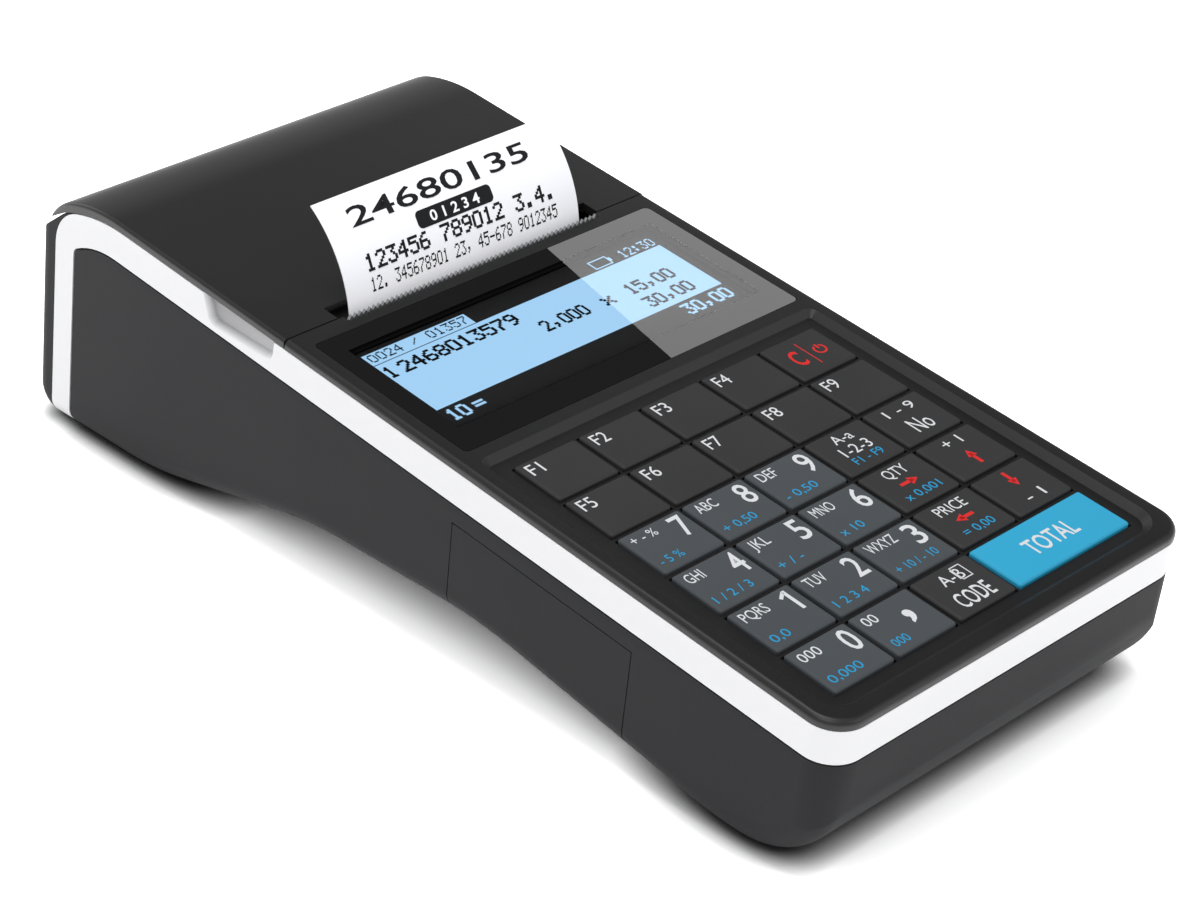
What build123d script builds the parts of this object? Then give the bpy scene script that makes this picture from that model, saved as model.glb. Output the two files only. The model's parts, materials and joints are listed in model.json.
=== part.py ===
from build123d import *
import os
from math import atan2, cos, degrees, hypot, pi, radians, sin, sqrt, tan

# Portable ticket register: a keypad and display deck in front, a receipt printer with a
# hinged paper lid behind it, on a casing that arches up at the waist over its battery.
#
# Frame: +Z up, +X to the right of the person at the keys, +Y to the back.  The origin is
# on the table under the middle of the register.  Sizes are millimetres.
#
# Most sizes are given along the sloping deck: "along" is measured on the deck from the
# front face to the back, and "drop" is measured down from the deck, square to it.

os.makedirs("parts", exist_ok=True)

# ---------------------------------------------------------------- casing
casing_width = 89.0
casing_length = 214.6
deck_tilt = 6.5
deck_front_height = 33.0
deck_length = casing_length - 80.8
casing_wall = 2.8
half_width = casing_width / 2
paper_margin = 16.0
paper_width = casing_width - 2 * paper_margin
plan_corner_radius = 6.3
side_edge_radius = 4.5
rim_edge_radius = 1.2
parting_drop = 8.75
parting_gap = 0.2
seam_gap = 0.3
rear_lean = 9.3
rim_slope = 42.0
rim_bend_turn = 28.0

foot_height = 0.8
front_bottom_radius = 18.5
front_foot_length = 26.0
waist_front_along = casing_length / 2 - 23.4
waist_front_height = 11.2
waist_rear_along = casing_length - 84.7
waist_rear_height = 10.5
rear_foot_along = casing_length - 37.7
rear_bottom_radius = 6.0
front_foot_blend = 60.0
waist_blend = 100.0
rear_foot_blend = 80.0

# ---------------------------------------------------------------- white trim band
band_depth = 1.8
band_height = 6.7
band_top_drop = 1.9
band_groove = 0.35
band_fit = 0.1
band_outer_radius = 10.5
band_inner_along = casing_length - 31.2
band_inner_radius = 22.5
band_inner_turn = 32.8
band_inner_corner = 2.2
leg_lean = 2.8
band_bend_turn = 21.4
leg_tuck = 4.0
leg_tuck_drop = 42.0
scoop_start = deck_length + 2.6
scoop_length = 21.0
scoop_front_drop = 6.3
scoop_back_drop = 7.6
scoop_lean = 2.6
scoop_depth = 1.3
scoop_slope = 40.0
scoop_corner = 2.2

# ---------------------------------------------------------------- paper lid
lid_thickness = 1.7
lid_gap = 0.2
lid_bend_along = casing_length - 33.6
lid_bend_radius = 40.0
lid_top_bend_along = casing_length - 32.2
lid_top_turn = 19.7
lid_tail_radius = 16.0
lid_tail_turn = 34.0
lid_tip_length = 1.15
lid_tip_heading = -79.0
lid_under_turn = 27.0
lid_edge_radius = 0.8
slot_half_width = paper_width / 2 + 3.7
slot_back_along = deck_length + 4.1
slot_ramp = 30.0

# ---------------------------------------------------------------- lid hinge
hinge_along = casing_length - 10.2
hinge_drop = 10.6
knuckle_radius = 2.0
knuckle_clearance = 0.3
knuckle_gap = 0.3
hinge_pin_radius = 0.8
hinge_running_clearance = 0.05
hinge_spread = half_width - 17.5
casing_knuckle_length = 8.0
lid_knuckle_length = 5.0

# ---------------------------------------------------------------- keypad
key_columns = 5
key_field_margin = 7.0
key_grid_front = 6.8
recess_margin = 3.2
key_rows = 6
key_pitch_across = (half_width - key_field_margin) * 2 / key_columns
key_pitch_along = (deck_length - 51.4 - key_grid_front) / key_rows
key_gap = 1.0
key_gap_along = 1.15
key_clearance = 0.25
key_top_drop = 0.5
key_cap_height = 1.9
key_corner = 0.35
key_chamfer = 0.35
key_travel = 1.0
key_stem_across = key_pitch_across - 4.6
key_stem_along = key_pitch_along - 4.8
key_stem_length = 2.5
key_stem_clearance = 0.3
keypad_rim_half = half_width - recess_margin
keypad_rim_front = 3.5
keypad_rim_back = key_grid_front + key_rows * key_pitch_along + 3.9
keypad_rim_corner = 5.0
keypad_rim_back_corner = 2.0
keypad_floor_drop = 1.2
keypad_rim_slope = 50.0
key_frame_wall = 1.5
key_lattice_drop = 3.6
key_lattice_height = 1.2
mat_thickness = 1.0
dome_height = 0.3
dome_radius = 3.4

# ---------------------------------------------------------------- display
window_half = half_width - recess_margin
window_front = keypad_rim_back + 2.8
window_back = deck_length - 4.1
window_thickness = 1.5
window_corner = 1.2
window_fit = 0.1
window_ledge = 3.6
lcd_glass_across = 2 * window_half - 9.6
lcd_glass_along = 28.0
lcd_glass_centre = (window_front + window_back) / 2 + 1.8
lcd_glass_drop = 1.7
lcd_glass_thickness = 1.4
lcd_frame_across = lcd_glass_across + 4.0
lcd_frame_along = lcd_glass_along + 4.0

# ---------------------------------------------------------------- main board and battery
board_thickness = 1.6
wall_rib = 1.0
rib_bite = 0.5
board_half_width = half_width - 4.5
board_front = 5.0
board_back = deck_length - 6.8
board_clearance = 0.4
board_chip_along = window_back - 29.7
chip_size = 12.0
chip_height = 1.2
bay_ceiling_gap = 1.8
door_top_drop = 12.6
door_gap = 0.2
door_front = waist_front_along - 40.0
door_back = waist_front_along + 3.8
door_lip_height = 2.0
door_groove_depth = 0.4
door_groove_width = 0.9
door_groove_pitch = 1.8
door_grooves = 5
door_groove_half = 12.0
battery_across = casing_width - 20.0
battery_along = door_back - door_front - 6.8
battery_thickness = deck_front_height - 16.5
battery_corner = 5.0
battery_gap = 0.1
bay_screw_half = half_width - 6.5
bay_screw_alongs = (door_front + 4.1, door_back - 4.3)

# ---------------------------------------------------------------- paper roll and path
paper_thickness = 0.2
bucket_radius = 19.6
roll_radius = bucket_radius - 1.6
roll_core_radius = 6.5
roll_core_wall = 1.2
roll_along = casing_length - 44.2
bucket_floor_gap = 2.1
roll_gap = 0.3
bucket_lift = 1.2
bucket_wall = 1.5
bucket_half_width = paper_width / 2 + 1.3
bucket_mouth_front = roll_along - 18.9
bucket_flange_drop = 4.2
bucket_flange_thickness = 1.0
bucket_flange_half = half_width - 3.2
bucket_flange_front = roll_along - 21.9
bucket_flange_back = roll_along + 22.1
bucket_chute_length = 19.0
bucket_ledge_inner = half_width - 4.3
bucket_ledge_height = 1.2
cradle_inner = 20.0
cradle_outer = 22.0
cradle_reach = 12.0
well_back = casing_length - 17.6
strip_radius = 24.0
strip_lean = 78.0
strip_turn = 49.0
strip_start_drop = 1.4
strip_straight = 1.1

# ---------------------------------------------------------------- printer
platen_along = deck_length + 6.1
platen_drop = 8.5
platen_radius = 4.5
platen_length = paper_width + 1.0
shaft_radius = 2.0
shaft_running_clearance = 0.05
bush_radius = 3.5
cheek_inner_half = platen_length / 2 + 1.2
cheek_thickness = 2.0
cheek_radius = 5.0
bush_outer_half = cheek_inner_half + 5.8
liner_half_width = half_width - 3.9
liner_thickness = 1.0
liner_back = roll_along + 9.6
frame_inner_half = cheek_inner_half + cheek_thickness + 1.0
frame_plate = 1.5
frame_slot_clearance = 0.35
frame_slot_flare = 1.2
frame_front = deck_length - 9.2
frame_step = frame_front + 4.0
frame_back = platen_along + 8.7
frame_top_drop = 5.2
frame_front_drop = 8.2
frame_wall_bottom = 18.0
frame_bottom_drop = 31.0
ear_thickness = 1.2
front_ear_x = frame_inner_half - 3.2
front_ear_half = 3.0
front_ear_along = frame_front - 2.6
front_ear_reach = 5.2
rear_ear_x = frame_inner_half + 3.7
rear_ear_along = frame_back - 0.4
rear_ear_drop = 10.0
tie_along = platen_along + 3.0
tie_drop = 15.8
tie_radius = 1.3
gear_module = 0.5
gear_width = 3.0
gear_start = frame_inner_half + frame_plate + 2.2
gear_backlash = 0.12
gear_centre_slack = 0.08
platen_teeth = 20
idler_teeth = 24
pinion_teeth = 12
pressure_angle = 20.0
addendum = 0.9
dedendum = 1.15
idler_angle = -92.0
pinion_angle = -145.0
idler_pin_radius = 1.5
idler_hub_radius = 2.6
idler_cap_radius = 2.3
motor_radius = 7.5
motor_length = 14.0
motor_boss_radius = 2.6
motor_boss_height = 0.8
pinion_shaft_radius = 0.9
head_half_length = paper_width / 2 + 0.3
head_height = 11.0
head_fins = 6
head_fin_depth = 1.2
head_top_drop = 5.2
head_ceramic = 1.0
head_sink = 3.0
spring_sheet = 0.4
spring_half_width = 3.0
spring_reach = 4.0
spring_land = 0.8
spring_half_spread = 16.0
spring_drop = 12.3
bar_half_length = paper_width / 2 + 2.5
bar_along = deck_length - 0.9
bar_thickness = 0.6
bar_tooth_pitch = 1.1
bar_tooth_height = 0.8
bar_tip_rise = 0.7
bar_peg_half = bar_half_length - 7.0
bar_peg_drop = -2.6
bar_peg_radius = 0.7
bar_peg_clearance = 0.05

# ---------------------------------------------------------------- small parts
screw_head_radius = 2.1
screw_head_height = 1.4
screw_shank_radius = 1.1
screw_length = 5.6
screw_recess_radius = 0.8
screw_recess_depth = 0.7
screw_hole_clearance = 0.2
screw_bore_clearance = 0.05
boss_radius = 2.3
boss_drop = 9.4
boss_bore_depth = 5.0
hook_inner = half_width - 8.0
hook_outer = half_width - 4.2
hook_thickness = 1.6
hook_barb = 1.1
hook_bottom = 12.0
rear_hook_along = deck_length - 5.2
catch_clearance = 0.1
catch_height = 1.2
pad_radius = 4.0
pad_thickness = 1.6
pad_clearance = 0.05
pad_half_spread = half_width - 11.5
front_pad_from_end = 24.5
rear_pad_from_end = 18.0
jack_across = 9.0
jack_height = 11.0
jack_depth = 12.0
jack_x = -24.0
jack_hole_radius = 2.8
jack_pin_radius = 1.0
port_across = 9.4
port_height = 3.6
port_depth = 8.0
port_wall = 0.5
port_tongue = 0.8
port_x = -8.0
socket_sunk = 0.5
socket_height = 17.0
socket_shelf = 1.5
socket_fit = 0.15
socket_face = casing_length / 2 - 1.6

front_y = -casing_length / 2
slope = radians(deck_tilt)
floor_drop = (deck_front_height + roll_along * sin(slope) - foot_height - casing_wall) / cos(slope)
roll_drop = floor_drop - bucket_floor_gap - bucket_radius - bucket_wall + bucket_lift

# The two working planes: the deck itself, and the lengthwise section through its middle,
# where x runs along the deck and y is the height above it.
deck = Plane(origin=(0, front_y, deck_front_height), x_dir=(1, 0, 0), z_dir=(0, -sin(slope), cos(slope)))
side = Plane(origin=deck.origin, x_dir=deck.y_dir, z_dir=deck.x_dir)


def on_side(y, z):
    """Section coordinates of a point given by its world depth y and height z."""
    local = side.to_local_coords(Vector(0, y, z))
    return (local.X, local.Y)


def turned(start, heading, distance):
    """The point a distance away from start, in a heading given in degrees."""
    return (start[0] + distance * cos(radians(heading)), start[1] + distance * sin(radians(heading)))


def crossing(first, first_heading, second, second_heading):
    """Where two lines meet, each given by a point and a heading in degrees."""
    ax, ay = cos(radians(first_heading)), sin(radians(first_heading))
    bx, by = cos(radians(second_heading)), sin(radians(second_heading))
    gap_x, gap_y = second[0] - first[0], second[1] - first[1]
    reach = (gap_x * by - gap_y * bx) / (ax * by - ay * bx)
    return (first[0] + reach * ax, first[1] + reach * ay)


def across(x):
    """The section plane moved sideways to x."""
    return side.offset(x)


def save(piece, name):
    """Label a finished piece and write it."""
    piece.part.label = name
    export_step(piece.part, "parts/" + name + ".step")


# ---------------------------------------------------------------- casing form
rear_heading = 90 + rear_lean - deck_tilt
corner_reach = rear_bottom_radius * (1 / tan(radians(90 - rear_lean) / 2) - 1)
rear_corner = on_side(casing_length / 2 + corner_reach, foot_height)
lid_line = -band_top_drop
bend_end = (
    lid_bend_along + lid_bend_radius * sin(radians(rim_bend_turn)),
    lid_line - lid_bend_radius * (1 - cos(radians(rim_bend_turn))),
)
rim_corner = crossing(bend_end, -rim_slope, rear_corner, rear_heading)
front_corner = (0, (foot_height - deck_front_height) / cos(slope))

with BuildSketch(side) as casing_outline:
    with BuildLine():
        FilletPolyline(
            (0, 0),
            front_corner,
            on_side(front_y + front_foot_length, foot_height),
            on_side(front_y + waist_front_along, waist_front_height),
            on_side(front_y + waist_rear_along, waist_rear_height),
            on_side(front_y + rear_foot_along, foot_height),
            rear_corner,
            rim_corner,
            bend_end,
            radius=(
                front_bottom_radius,
                front_foot_blend,
                waist_blend,
                waist_blend,
                rear_foot_blend,
                rear_bottom_radius,
                0,
            ),
        )
        JernArc((lid_bend_along, lid_line), (1, 0), lid_bend_radius, -rim_bend_turn)
        Polyline((lid_bend_along, lid_line), (deck_length, lid_line), (deck_length, 0), (0, 0))
    make_face()


def casing_form(inset):
    """The casing's outer form, drawn in by inset on every side."""
    with BuildPart() as form:
        with BuildSketch(side):
            add(casing_outline.sketch_local)
            if inset:
                offset(amount=-inset, kind=Kind.INTERSECTION, mode=Mode.REPLACE)
        extrude(amount=half_width - inset, both=True)

        def rounded(edge):
            place = side.to_local_coords(edge.center())
            on_wall = abs(abs(place.Z) - half_width + inset) < 0.01
            return on_wall and (place.X < inset + 1 or place.Y < -16)

        if inset < casing_wall:
            fillet(form.edges().filter_by(rounded), side_edge_radius - inset)
        with BuildSketch(deck) as plan:
            with Locations((0, casing_length / 2 + inset)):
                Rectangle(casing_width - 2 * inset, casing_length)
            front_vertices = plan.vertices().group_by(Axis.Y)[0]
            fillet(front_vertices, plan_corner_radius - inset)
        extrude(amount=casing_length, both=True, mode=Mode.INTERSECT)
    return form.part


outer_form = casing_form(0)
band_core = casing_form(band_depth)
inner_form = casing_form(casing_wall)
groove_core = casing_form(door_groove_depth)
socket_form = casing_form(socket_sunk)


def band_outline(fit, groove):
    """Side view of the trim band: a strip along the deck that turns down at the back."""
    top = lid_line + fit
    bottom = -band_top_drop - band_height - groove
    outer_turn = 90 - leg_lean - band_bend_turn
    inner_turn = 90 - leg_lean - band_inner_turn
    with BuildSketch(side) as outline:
        with BuildLine():
            outer_bend = JernArc((lid_bend_along, top), (1, 0), lid_bend_radius + fit, -band_bend_turn)
            outer_fold = JernArc(outer_bend @ 1, outer_bend % 1, band_outer_radius + fit, -outer_turn)
            outer_leg = Line(outer_fold @ 1, outer_fold @ 1 + (outer_fold % 1) * casing_length)
            inner_bend = JernArc(
                (band_inner_along, bottom), (1, 0), band_inner_radius - groove, -band_inner_turn
            )
            inner_fold = JernArc(
                inner_bend @ 1, inner_bend % 1, band_inner_corner - groove, -inner_turn
            )
            inner_leg = Line(inner_fold @ 1, inner_fold @ 1 + (inner_fold % 1) * casing_length)
            Line(outer_leg @ 1, inner_leg @ 1)
            Polyline(
                (lid_bend_along, top),
                (-casing_wall, top),
                (-casing_wall, bottom),
                (band_inner_along, bottom),
            )
        make_face()
    return outline.sketch


def band_ring(fit, groove):
    """The strip of the casing's surface that the band fills, its legs tucked under the edge."""
    between = half_width - band_depth
    tucked = half_width - leg_tuck - groove
    rear_range = (casing_length / 2, casing_length * 2)
    with BuildPart() as ring:
        add(outer_form)
        extrude(band_outline(fit, groove), amount=casing_width, both=True, mode=Mode.INTERSECT)
        add(band_core, mode=Mode.SUBTRACT)
        add(block((-between, between), rear_range, (0, leg_tuck_drop)), mode=Mode.SUBTRACT)
        add(block((-tucked, tucked), rear_range, (0, casing_length)), mode=Mode.SUBTRACT)
    return ring.part


# ---------------------------------------------------------------- plain building blocks
def block(x_range, along_range, drop_range):
    """A square block in deck directions: across, along, and down from the deck."""
    with BuildPart() as made:
        with BuildSketch(deck.offset(-drop_range[1])):
            with Locations(((x_range[0] + x_range[1]) / 2, (along_range[0] + along_range[1]) / 2)):
                Rectangle(x_range[1] - x_range[0], along_range[1] - along_range[0])
        extrude(amount=drop_range[1] - drop_range[0])
    return made.part


def post(places, radius, drop_range):
    """Round posts square to the deck, at places given across and along it."""
    with BuildPart() as made:
        with BuildSketch(deck.offset(-drop_range[1])):
            with Locations(*places):
                Circle(radius)
        extrude(amount=drop_range[1] - drop_range[0])
    return made.part


def rod(centre, radius, x_range, bore=0):
    """A round bar lying across the casing, centred on a point of the section."""
    with BuildPart() as made:
        with BuildSketch(across(x_range[0])):
            with Locations(centre):
                Circle(radius)
                if bore:
                    Circle(bore, mode=Mode.SUBTRACT)
        extrude(amount=x_range[1] - x_range[0])
    return made.part


def both_sides(x_from, x_to):
    """The same stretch across the casing on the right and on the left."""
    return ((x_from, x_to), (-x_to, -x_from))


def plate(outline, x_range):
    """A flat plate standing lengthwise, with its outline given as section points."""
    with BuildPart() as made:
        with BuildSketch(across(x_range[0])):
            with BuildLine():
                Polyline(*outline, close=True)
            make_face()
        extrude(amount=x_range[1] - x_range[0])
    return made.part


# ---------------------------------------------------------------- trim band
band_seat = band_ring(band_fit, band_groove)

with BuildPart() as trim_band:
    add(band_ring(0, 0))
    for end in (1, -1):
        with BuildSketch(across(end * half_width)):
            with BuildLine():
                FilletPolyline(
                    (scoop_start, lid_line + 1),
                    (scoop_start + scoop_lean / 4, -scoop_front_drop),
                    (scoop_start + scoop_length - scoop_lean, -scoop_back_drop),
                    (scoop_start + scoop_length, lid_line + 1),
                    radius=scoop_corner,
                )
                Line((scoop_start + scoop_length, lid_line + 1), (scoop_start, lid_line + 1))
            make_face()
        extrude(amount=-end * scoop_depth, taper=scoop_slope, mode=Mode.SUBTRACT)
save(trim_band, "trim_band")

# ---------------------------------------------------------------- keypad grid
grid_half = key_columns * key_pitch_across / 2
grid_back = key_grid_front + key_rows * key_pitch_along
grid_middle = (key_grid_front + grid_back) / 2
keypad_length = keypad_rim_back - keypad_rim_front
keypad_middle = (keypad_rim_front + keypad_rim_back) / 2
opening_half = grid_half - key_gap / 2 + key_clearance
opening_front = key_grid_front + key_gap_along / 2 - key_clearance
opening_back = grid_back - key_gap_along / 2 + key_clearance
frame_half = opening_half + key_frame_wall
lattice_bottom = key_lattice_drop + key_lattice_height
wide_key_column = key_columns - 2
wide_key_row = key_rows - 1
cap_across = key_pitch_across - key_gap
cap_along = key_pitch_along - key_gap_along


def key_centre(column, row, columns_wide=1):
    """Middle of a key on the deck; rows count from the back."""
    from_middle = column + (columns_wide - 1) / 2 - (key_columns - 1) / 2
    return (from_middle * key_pitch_across, grid_back - (row + 0.5) * key_pitch_along)


single_keys = [
    key_centre(column, row)
    for row in range(key_rows)
    for column in range(key_columns)
    if row != wide_key_row or column < wide_key_column
]
wide_key = key_centre(wide_key_column, wide_key_row, 2)
dome_places = [key_centre(column, row) for row in range(key_rows) for column in range(key_columns)]

# ---------------------------------------------------------------- upper shell
window_opening_half = window_half - window_ledge
window_opening_front = window_front + window_ledge - 0.2
window_opening_back = window_back - window_ledge + 0.4
shell_back = deck_length - seam_gap / 2
bar_front = bar_along - bar_thickness
bar_plane = Plane(deck.from_local_coords((0, bar_along, 0)), x_dir=deck.x_dir, z_dir=-deck.y_dir)
bar_bottom = head_top_drop - 0.3
screw_places = [(x, along) for x in (-bay_screw_half, bay_screw_half) for along in bay_screw_alongs]

with BuildPart() as upper_shell:
    add(outer_form)
    with BuildSketch(deck.offset(-parting_drop)):
        with Locations((0, shell_back / 2)):
            Rectangle(casing_width * 2, shell_back)
    extrude(amount=parting_drop * 2, mode=Mode.INTERSECT)

    def on_rim(edge):
        place = side.to_local_coords(edge.center())
        return abs(place.Y) < 0.01 and place.X < shell_back - 0.1

    fillet(upper_shell.edges().filter_by(on_rim), rim_edge_radius)
    add(inner_form, mode=Mode.SUBTRACT)
    add(band_seat, mode=Mode.SUBTRACT)

    # screw bosses, which the key pockets trim down to the lattice
    add(post(screw_places, boss_radius, (casing_wall, boss_drop)))

    # keypad recess with its leaning walls, then a straight pocket for each key
    with BuildSketch(deck) as keypad_rim:
        with Locations((0, keypad_middle)):
            Rectangle(2 * keypad_rim_half, keypad_length)
        fillet(keypad_rim.vertices().group_by(Axis.Y)[0], keypad_rim_corner)
        fillet(keypad_rim.vertices().group_by(Axis.Y)[-1], keypad_rim_back_corner)
    extrude(amount=-keypad_floor_drop, taper=keypad_rim_slope, mode=Mode.SUBTRACT)
    ring_front = opening_front - key_frame_wall
    ring_back = opening_back + key_frame_wall
    add(block((-frame_half, frame_half), (ring_front, ring_back), (keypad_floor_drop, lattice_bottom)))
    with BuildSketch(deck):
        with Locations(*single_keys):
            Rectangle(cap_across + 2 * key_clearance, cap_along + 2 * key_clearance)
        with Locations(wide_key):
            Rectangle(cap_across + key_pitch_across + 2 * key_clearance, cap_along + 2 * key_clearance)
    extrude(amount=-key_lattice_drop, mode=Mode.SUBTRACT)

    # display ledge and opening
    with BuildSketch(deck):
        with Locations((0, (window_front + window_back) / 2)):
            RectangleRounded(2 * window_half, window_back - window_front, window_corner)
    extrude(amount=-window_thickness, mode=Mode.SUBTRACT)
    add(
        block(
            (-window_opening_half, window_opening_half),
            (window_opening_front, window_opening_back),
            (0, casing_wall * 2),
        ),
        mode=Mode.SUBTRACT,
    )

    # seat for the tear bar, with two pegs that carry it
    bar_seat_half = bar_half_length + band_fit
    add(block((-bar_seat_half, bar_seat_half), (bar_front, deck_length), (-1, casing_wall * 2)), mode=Mode.SUBTRACT)
    with BuildSketch(bar_plane):
        with Locations((-bar_peg_half, bar_peg_drop), (bar_peg_half, bar_peg_drop)):
            Circle(bar_peg_radius - bar_peg_clearance)
    extrude(amount=bar_thickness)

    # snap hooks behind the display
    for hook_range in both_sides(hook_inner, hook_outer):
        add(block(hook_range, (rear_hook_along, rear_hook_along + hook_thickness), (casing_wall - 0.5, hook_bottom)))
    for barb_range in both_sides(hook_outer - 0.5, hook_outer + hook_barb):
        add(block(barb_range, (rear_hook_along, rear_hook_along + hook_thickness), (hook_bottom - hook_barb, hook_bottom)))

    # screw bores, and stem holes through the key lattice
    add(
        post(screw_places, screw_shank_radius + screw_bore_clearance, (boss_drop - boss_bore_depth, boss_drop)),
        mode=Mode.SUBTRACT,
    )
    with BuildSketch(deck.offset(-lattice_bottom - 1)):
        with Locations(*single_keys):
            Rectangle(key_stem_across + 2 * key_stem_clearance, key_stem_along + 2 * key_stem_clearance)
        with Locations(wide_key):
            Rectangle(
                key_stem_across + key_pitch_across + 2 * key_stem_clearance,
                key_stem_along + 2 * key_stem_clearance,
            )
    extrude(amount=key_lattice_height + 2, mode=Mode.SUBTRACT)
save(upper_shell, "upper_shell")

# ---------------------------------------------------------------- keys
key_rows_of_names = (
    ("f1", "f2", "f3", "f4", "clear"),
    ("f5", "f6", "f7", "f8", "f9"),
    ("7", "8", "9", "shift", "id"),
    ("4", "5", "6", "quantity", "up"),
    ("1", "2", "3", "price", "down"),
    ("0", "comma", "code", "total"),
)
for row, names in enumerate(key_rows_of_names):
    for column, name in enumerate(names):
        columns_wide = 2 if name == "total" else 1
        extra = (columns_wide - 1) * key_pitch_across
        with BuildPart() as key:
            with BuildSketch(deck.offset(-key_top_drop - key_cap_height)) as cap_plan:
                with Locations(key_centre(column, row, columns_wide)):
                    Rectangle(cap_across + extra, cap_along)
                chamfer(cap_plan.vertices(), key_corner)
            extrude(amount=key_cap_height)
            chamfer(key.faces().sort_by(Axis(deck.origin, deck.z_dir))[-1].edges(), key_chamfer)
            with BuildSketch(deck.offset(-key_top_drop - key_cap_height)):
                with Locations(key_centre(column, row, columns_wide)):
                    Rectangle(key_stem_across + extra, key_stem_along)
            extrude(amount=-key_stem_length)
        save(key, "key_" + name)

# ---------------------------------------------------------------- keypad mat
stem_end = key_top_drop + key_cap_height + key_stem_length
mat_top = stem_end + dome_height
mat_half = (key_columns - 1) / 2 * key_pitch_across + key_stem_across / 2 + key_stem_clearance
with BuildPart() as keypad_mat:
    add(block((-mat_half, mat_half), (opening_front, opening_back), (mat_top, mat_top + mat_thickness)))
    with BuildSketch(deck.offset(-mat_top)):
        with Locations(*dome_places):
            Rectangle(2 * dome_radius, dome_radius)
    extrude(amount=dome_height)
save(keypad_mat, "keypad_mat")

# ---------------------------------------------------------------- main board
board_top = mat_top + mat_thickness
board_bottom = board_top + board_thickness
with BuildPart() as main_board:
    with BuildSketch(deck.offset(-board_bottom)) as board_plan:
        with Locations((0, (board_front + board_back) / 2)):
            Rectangle(2 * board_half_width, board_back - board_front)
        fillet(board_plan.vertices().group_by(Axis.Y)[0], plan_corner_radius - casing_wall)
        with Locations(*screw_places):
            Circle(boss_radius + board_clearance, mode=Mode.SUBTRACT)
    extrude(amount=board_thickness)
    add(block((-chip_size, 0), (board_chip_along, board_chip_along + chip_size), (board_bottom, board_bottom + chip_height)))
    add(block((chip_size, 2 * chip_size), (board_chip_along, board_chip_along + chip_size / 2), (board_bottom, board_bottom + chip_height)))
save(main_board, "main_board")

# ---------------------------------------------------------------- display
with BuildPart() as lcd_module:
    glass_front = lcd_glass_centre - lcd_glass_along / 2
    frame_along_front = lcd_glass_centre - lcd_frame_along / 2
    add(
        block(
            (-lcd_frame_across / 2, lcd_frame_across / 2),
            (frame_along_front, frame_along_front + lcd_frame_along),
            (lcd_glass_drop + lcd_glass_thickness, board_top),
        )
    )
    add(
        block(
            (-lcd_glass_across / 2, lcd_glass_across / 2),
            (glass_front, glass_front + lcd_glass_along),
            (lcd_glass_drop, lcd_glass_drop + lcd_glass_thickness),
        )
    )
save(lcd_module, "lcd_module")

with BuildPart() as display_window:
    with BuildSketch(deck.offset(-window_thickness)):
        with Locations((0, (window_front + window_back) / 2)):
            RectangleRounded(
                2 * (window_half - window_fit), window_back - window_front - 2 * window_fit, window_corner
            )
    extrude(amount=window_thickness)
save(display_window, "display_window")

# ---------------------------------------------------------------- tear bar
bar_teeth = int(2 * bar_half_length / bar_tooth_pitch)
with BuildPart() as tear_bar:
    with BuildSketch(bar_plane):
        tooth_start = -bar_teeth * bar_tooth_pitch / 2
        crest = []
        for tooth in range(bar_teeth):
            crest.append((tooth_start + tooth * bar_tooth_pitch, bar_tip_rise - bar_tooth_height))
            crest.append((tooth_start + (tooth + 0.5) * bar_tooth_pitch, bar_tip_rise))
        crest.append((-tooth_start, bar_tip_rise - bar_tooth_height))
        with BuildLine():
            Polyline(
                (-bar_half_length, -bar_bottom),
                (-bar_half_length, bar_tip_rise - bar_tooth_height),
                *crest,
                (bar_half_length, bar_tip_rise - bar_tooth_height),
                (bar_half_length, -bar_bottom),
                close=True,
            )
        make_face()
        with Locations((-bar_peg_half, bar_peg_drop), (bar_peg_half, bar_peg_drop)):
            Circle(bar_peg_radius, mode=Mode.SUBTRACT)
    extrude(amount=bar_thickness)
save(tear_bar, "tear_bar")

# ---------------------------------------------------------------- lower casing
inner_half = half_width - casing_wall
door_lip_form = casing_form(casing_wall + door_gap)
ceiling_top = board_bottom + bay_ceiling_gap
ceiling_bottom = ceiling_top + wall_rib
deep = casing_length / 2
bay_range = (door_front - door_gap - wall_rib, door_back + door_gap + wall_rib)
hinge_centre = (hinge_along, -hinge_drop)
roll_centre = (roll_along, -roll_drop)
bucket_centre = (roll_along, -roll_drop + bucket_lift)
front_screws = [(-front_ear_x, front_ear_along), (front_ear_x, front_ear_along)]
rear_screws = [(-rear_ear_x, rear_ear_along), (rear_ear_x, rear_ear_along)]
screw_bore = screw_shank_radius + screw_bore_clearance
rear_ear_bottom = rear_ear_drop + ear_thickness
ledge_top = bucket_flange_drop + bucket_flange_thickness
pad_places = [
    (x, y)
    for x in (-pad_half_spread, pad_half_spread)
    for y in (front_y + front_pad_from_end, -front_y - rear_pad_from_end)
]

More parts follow.
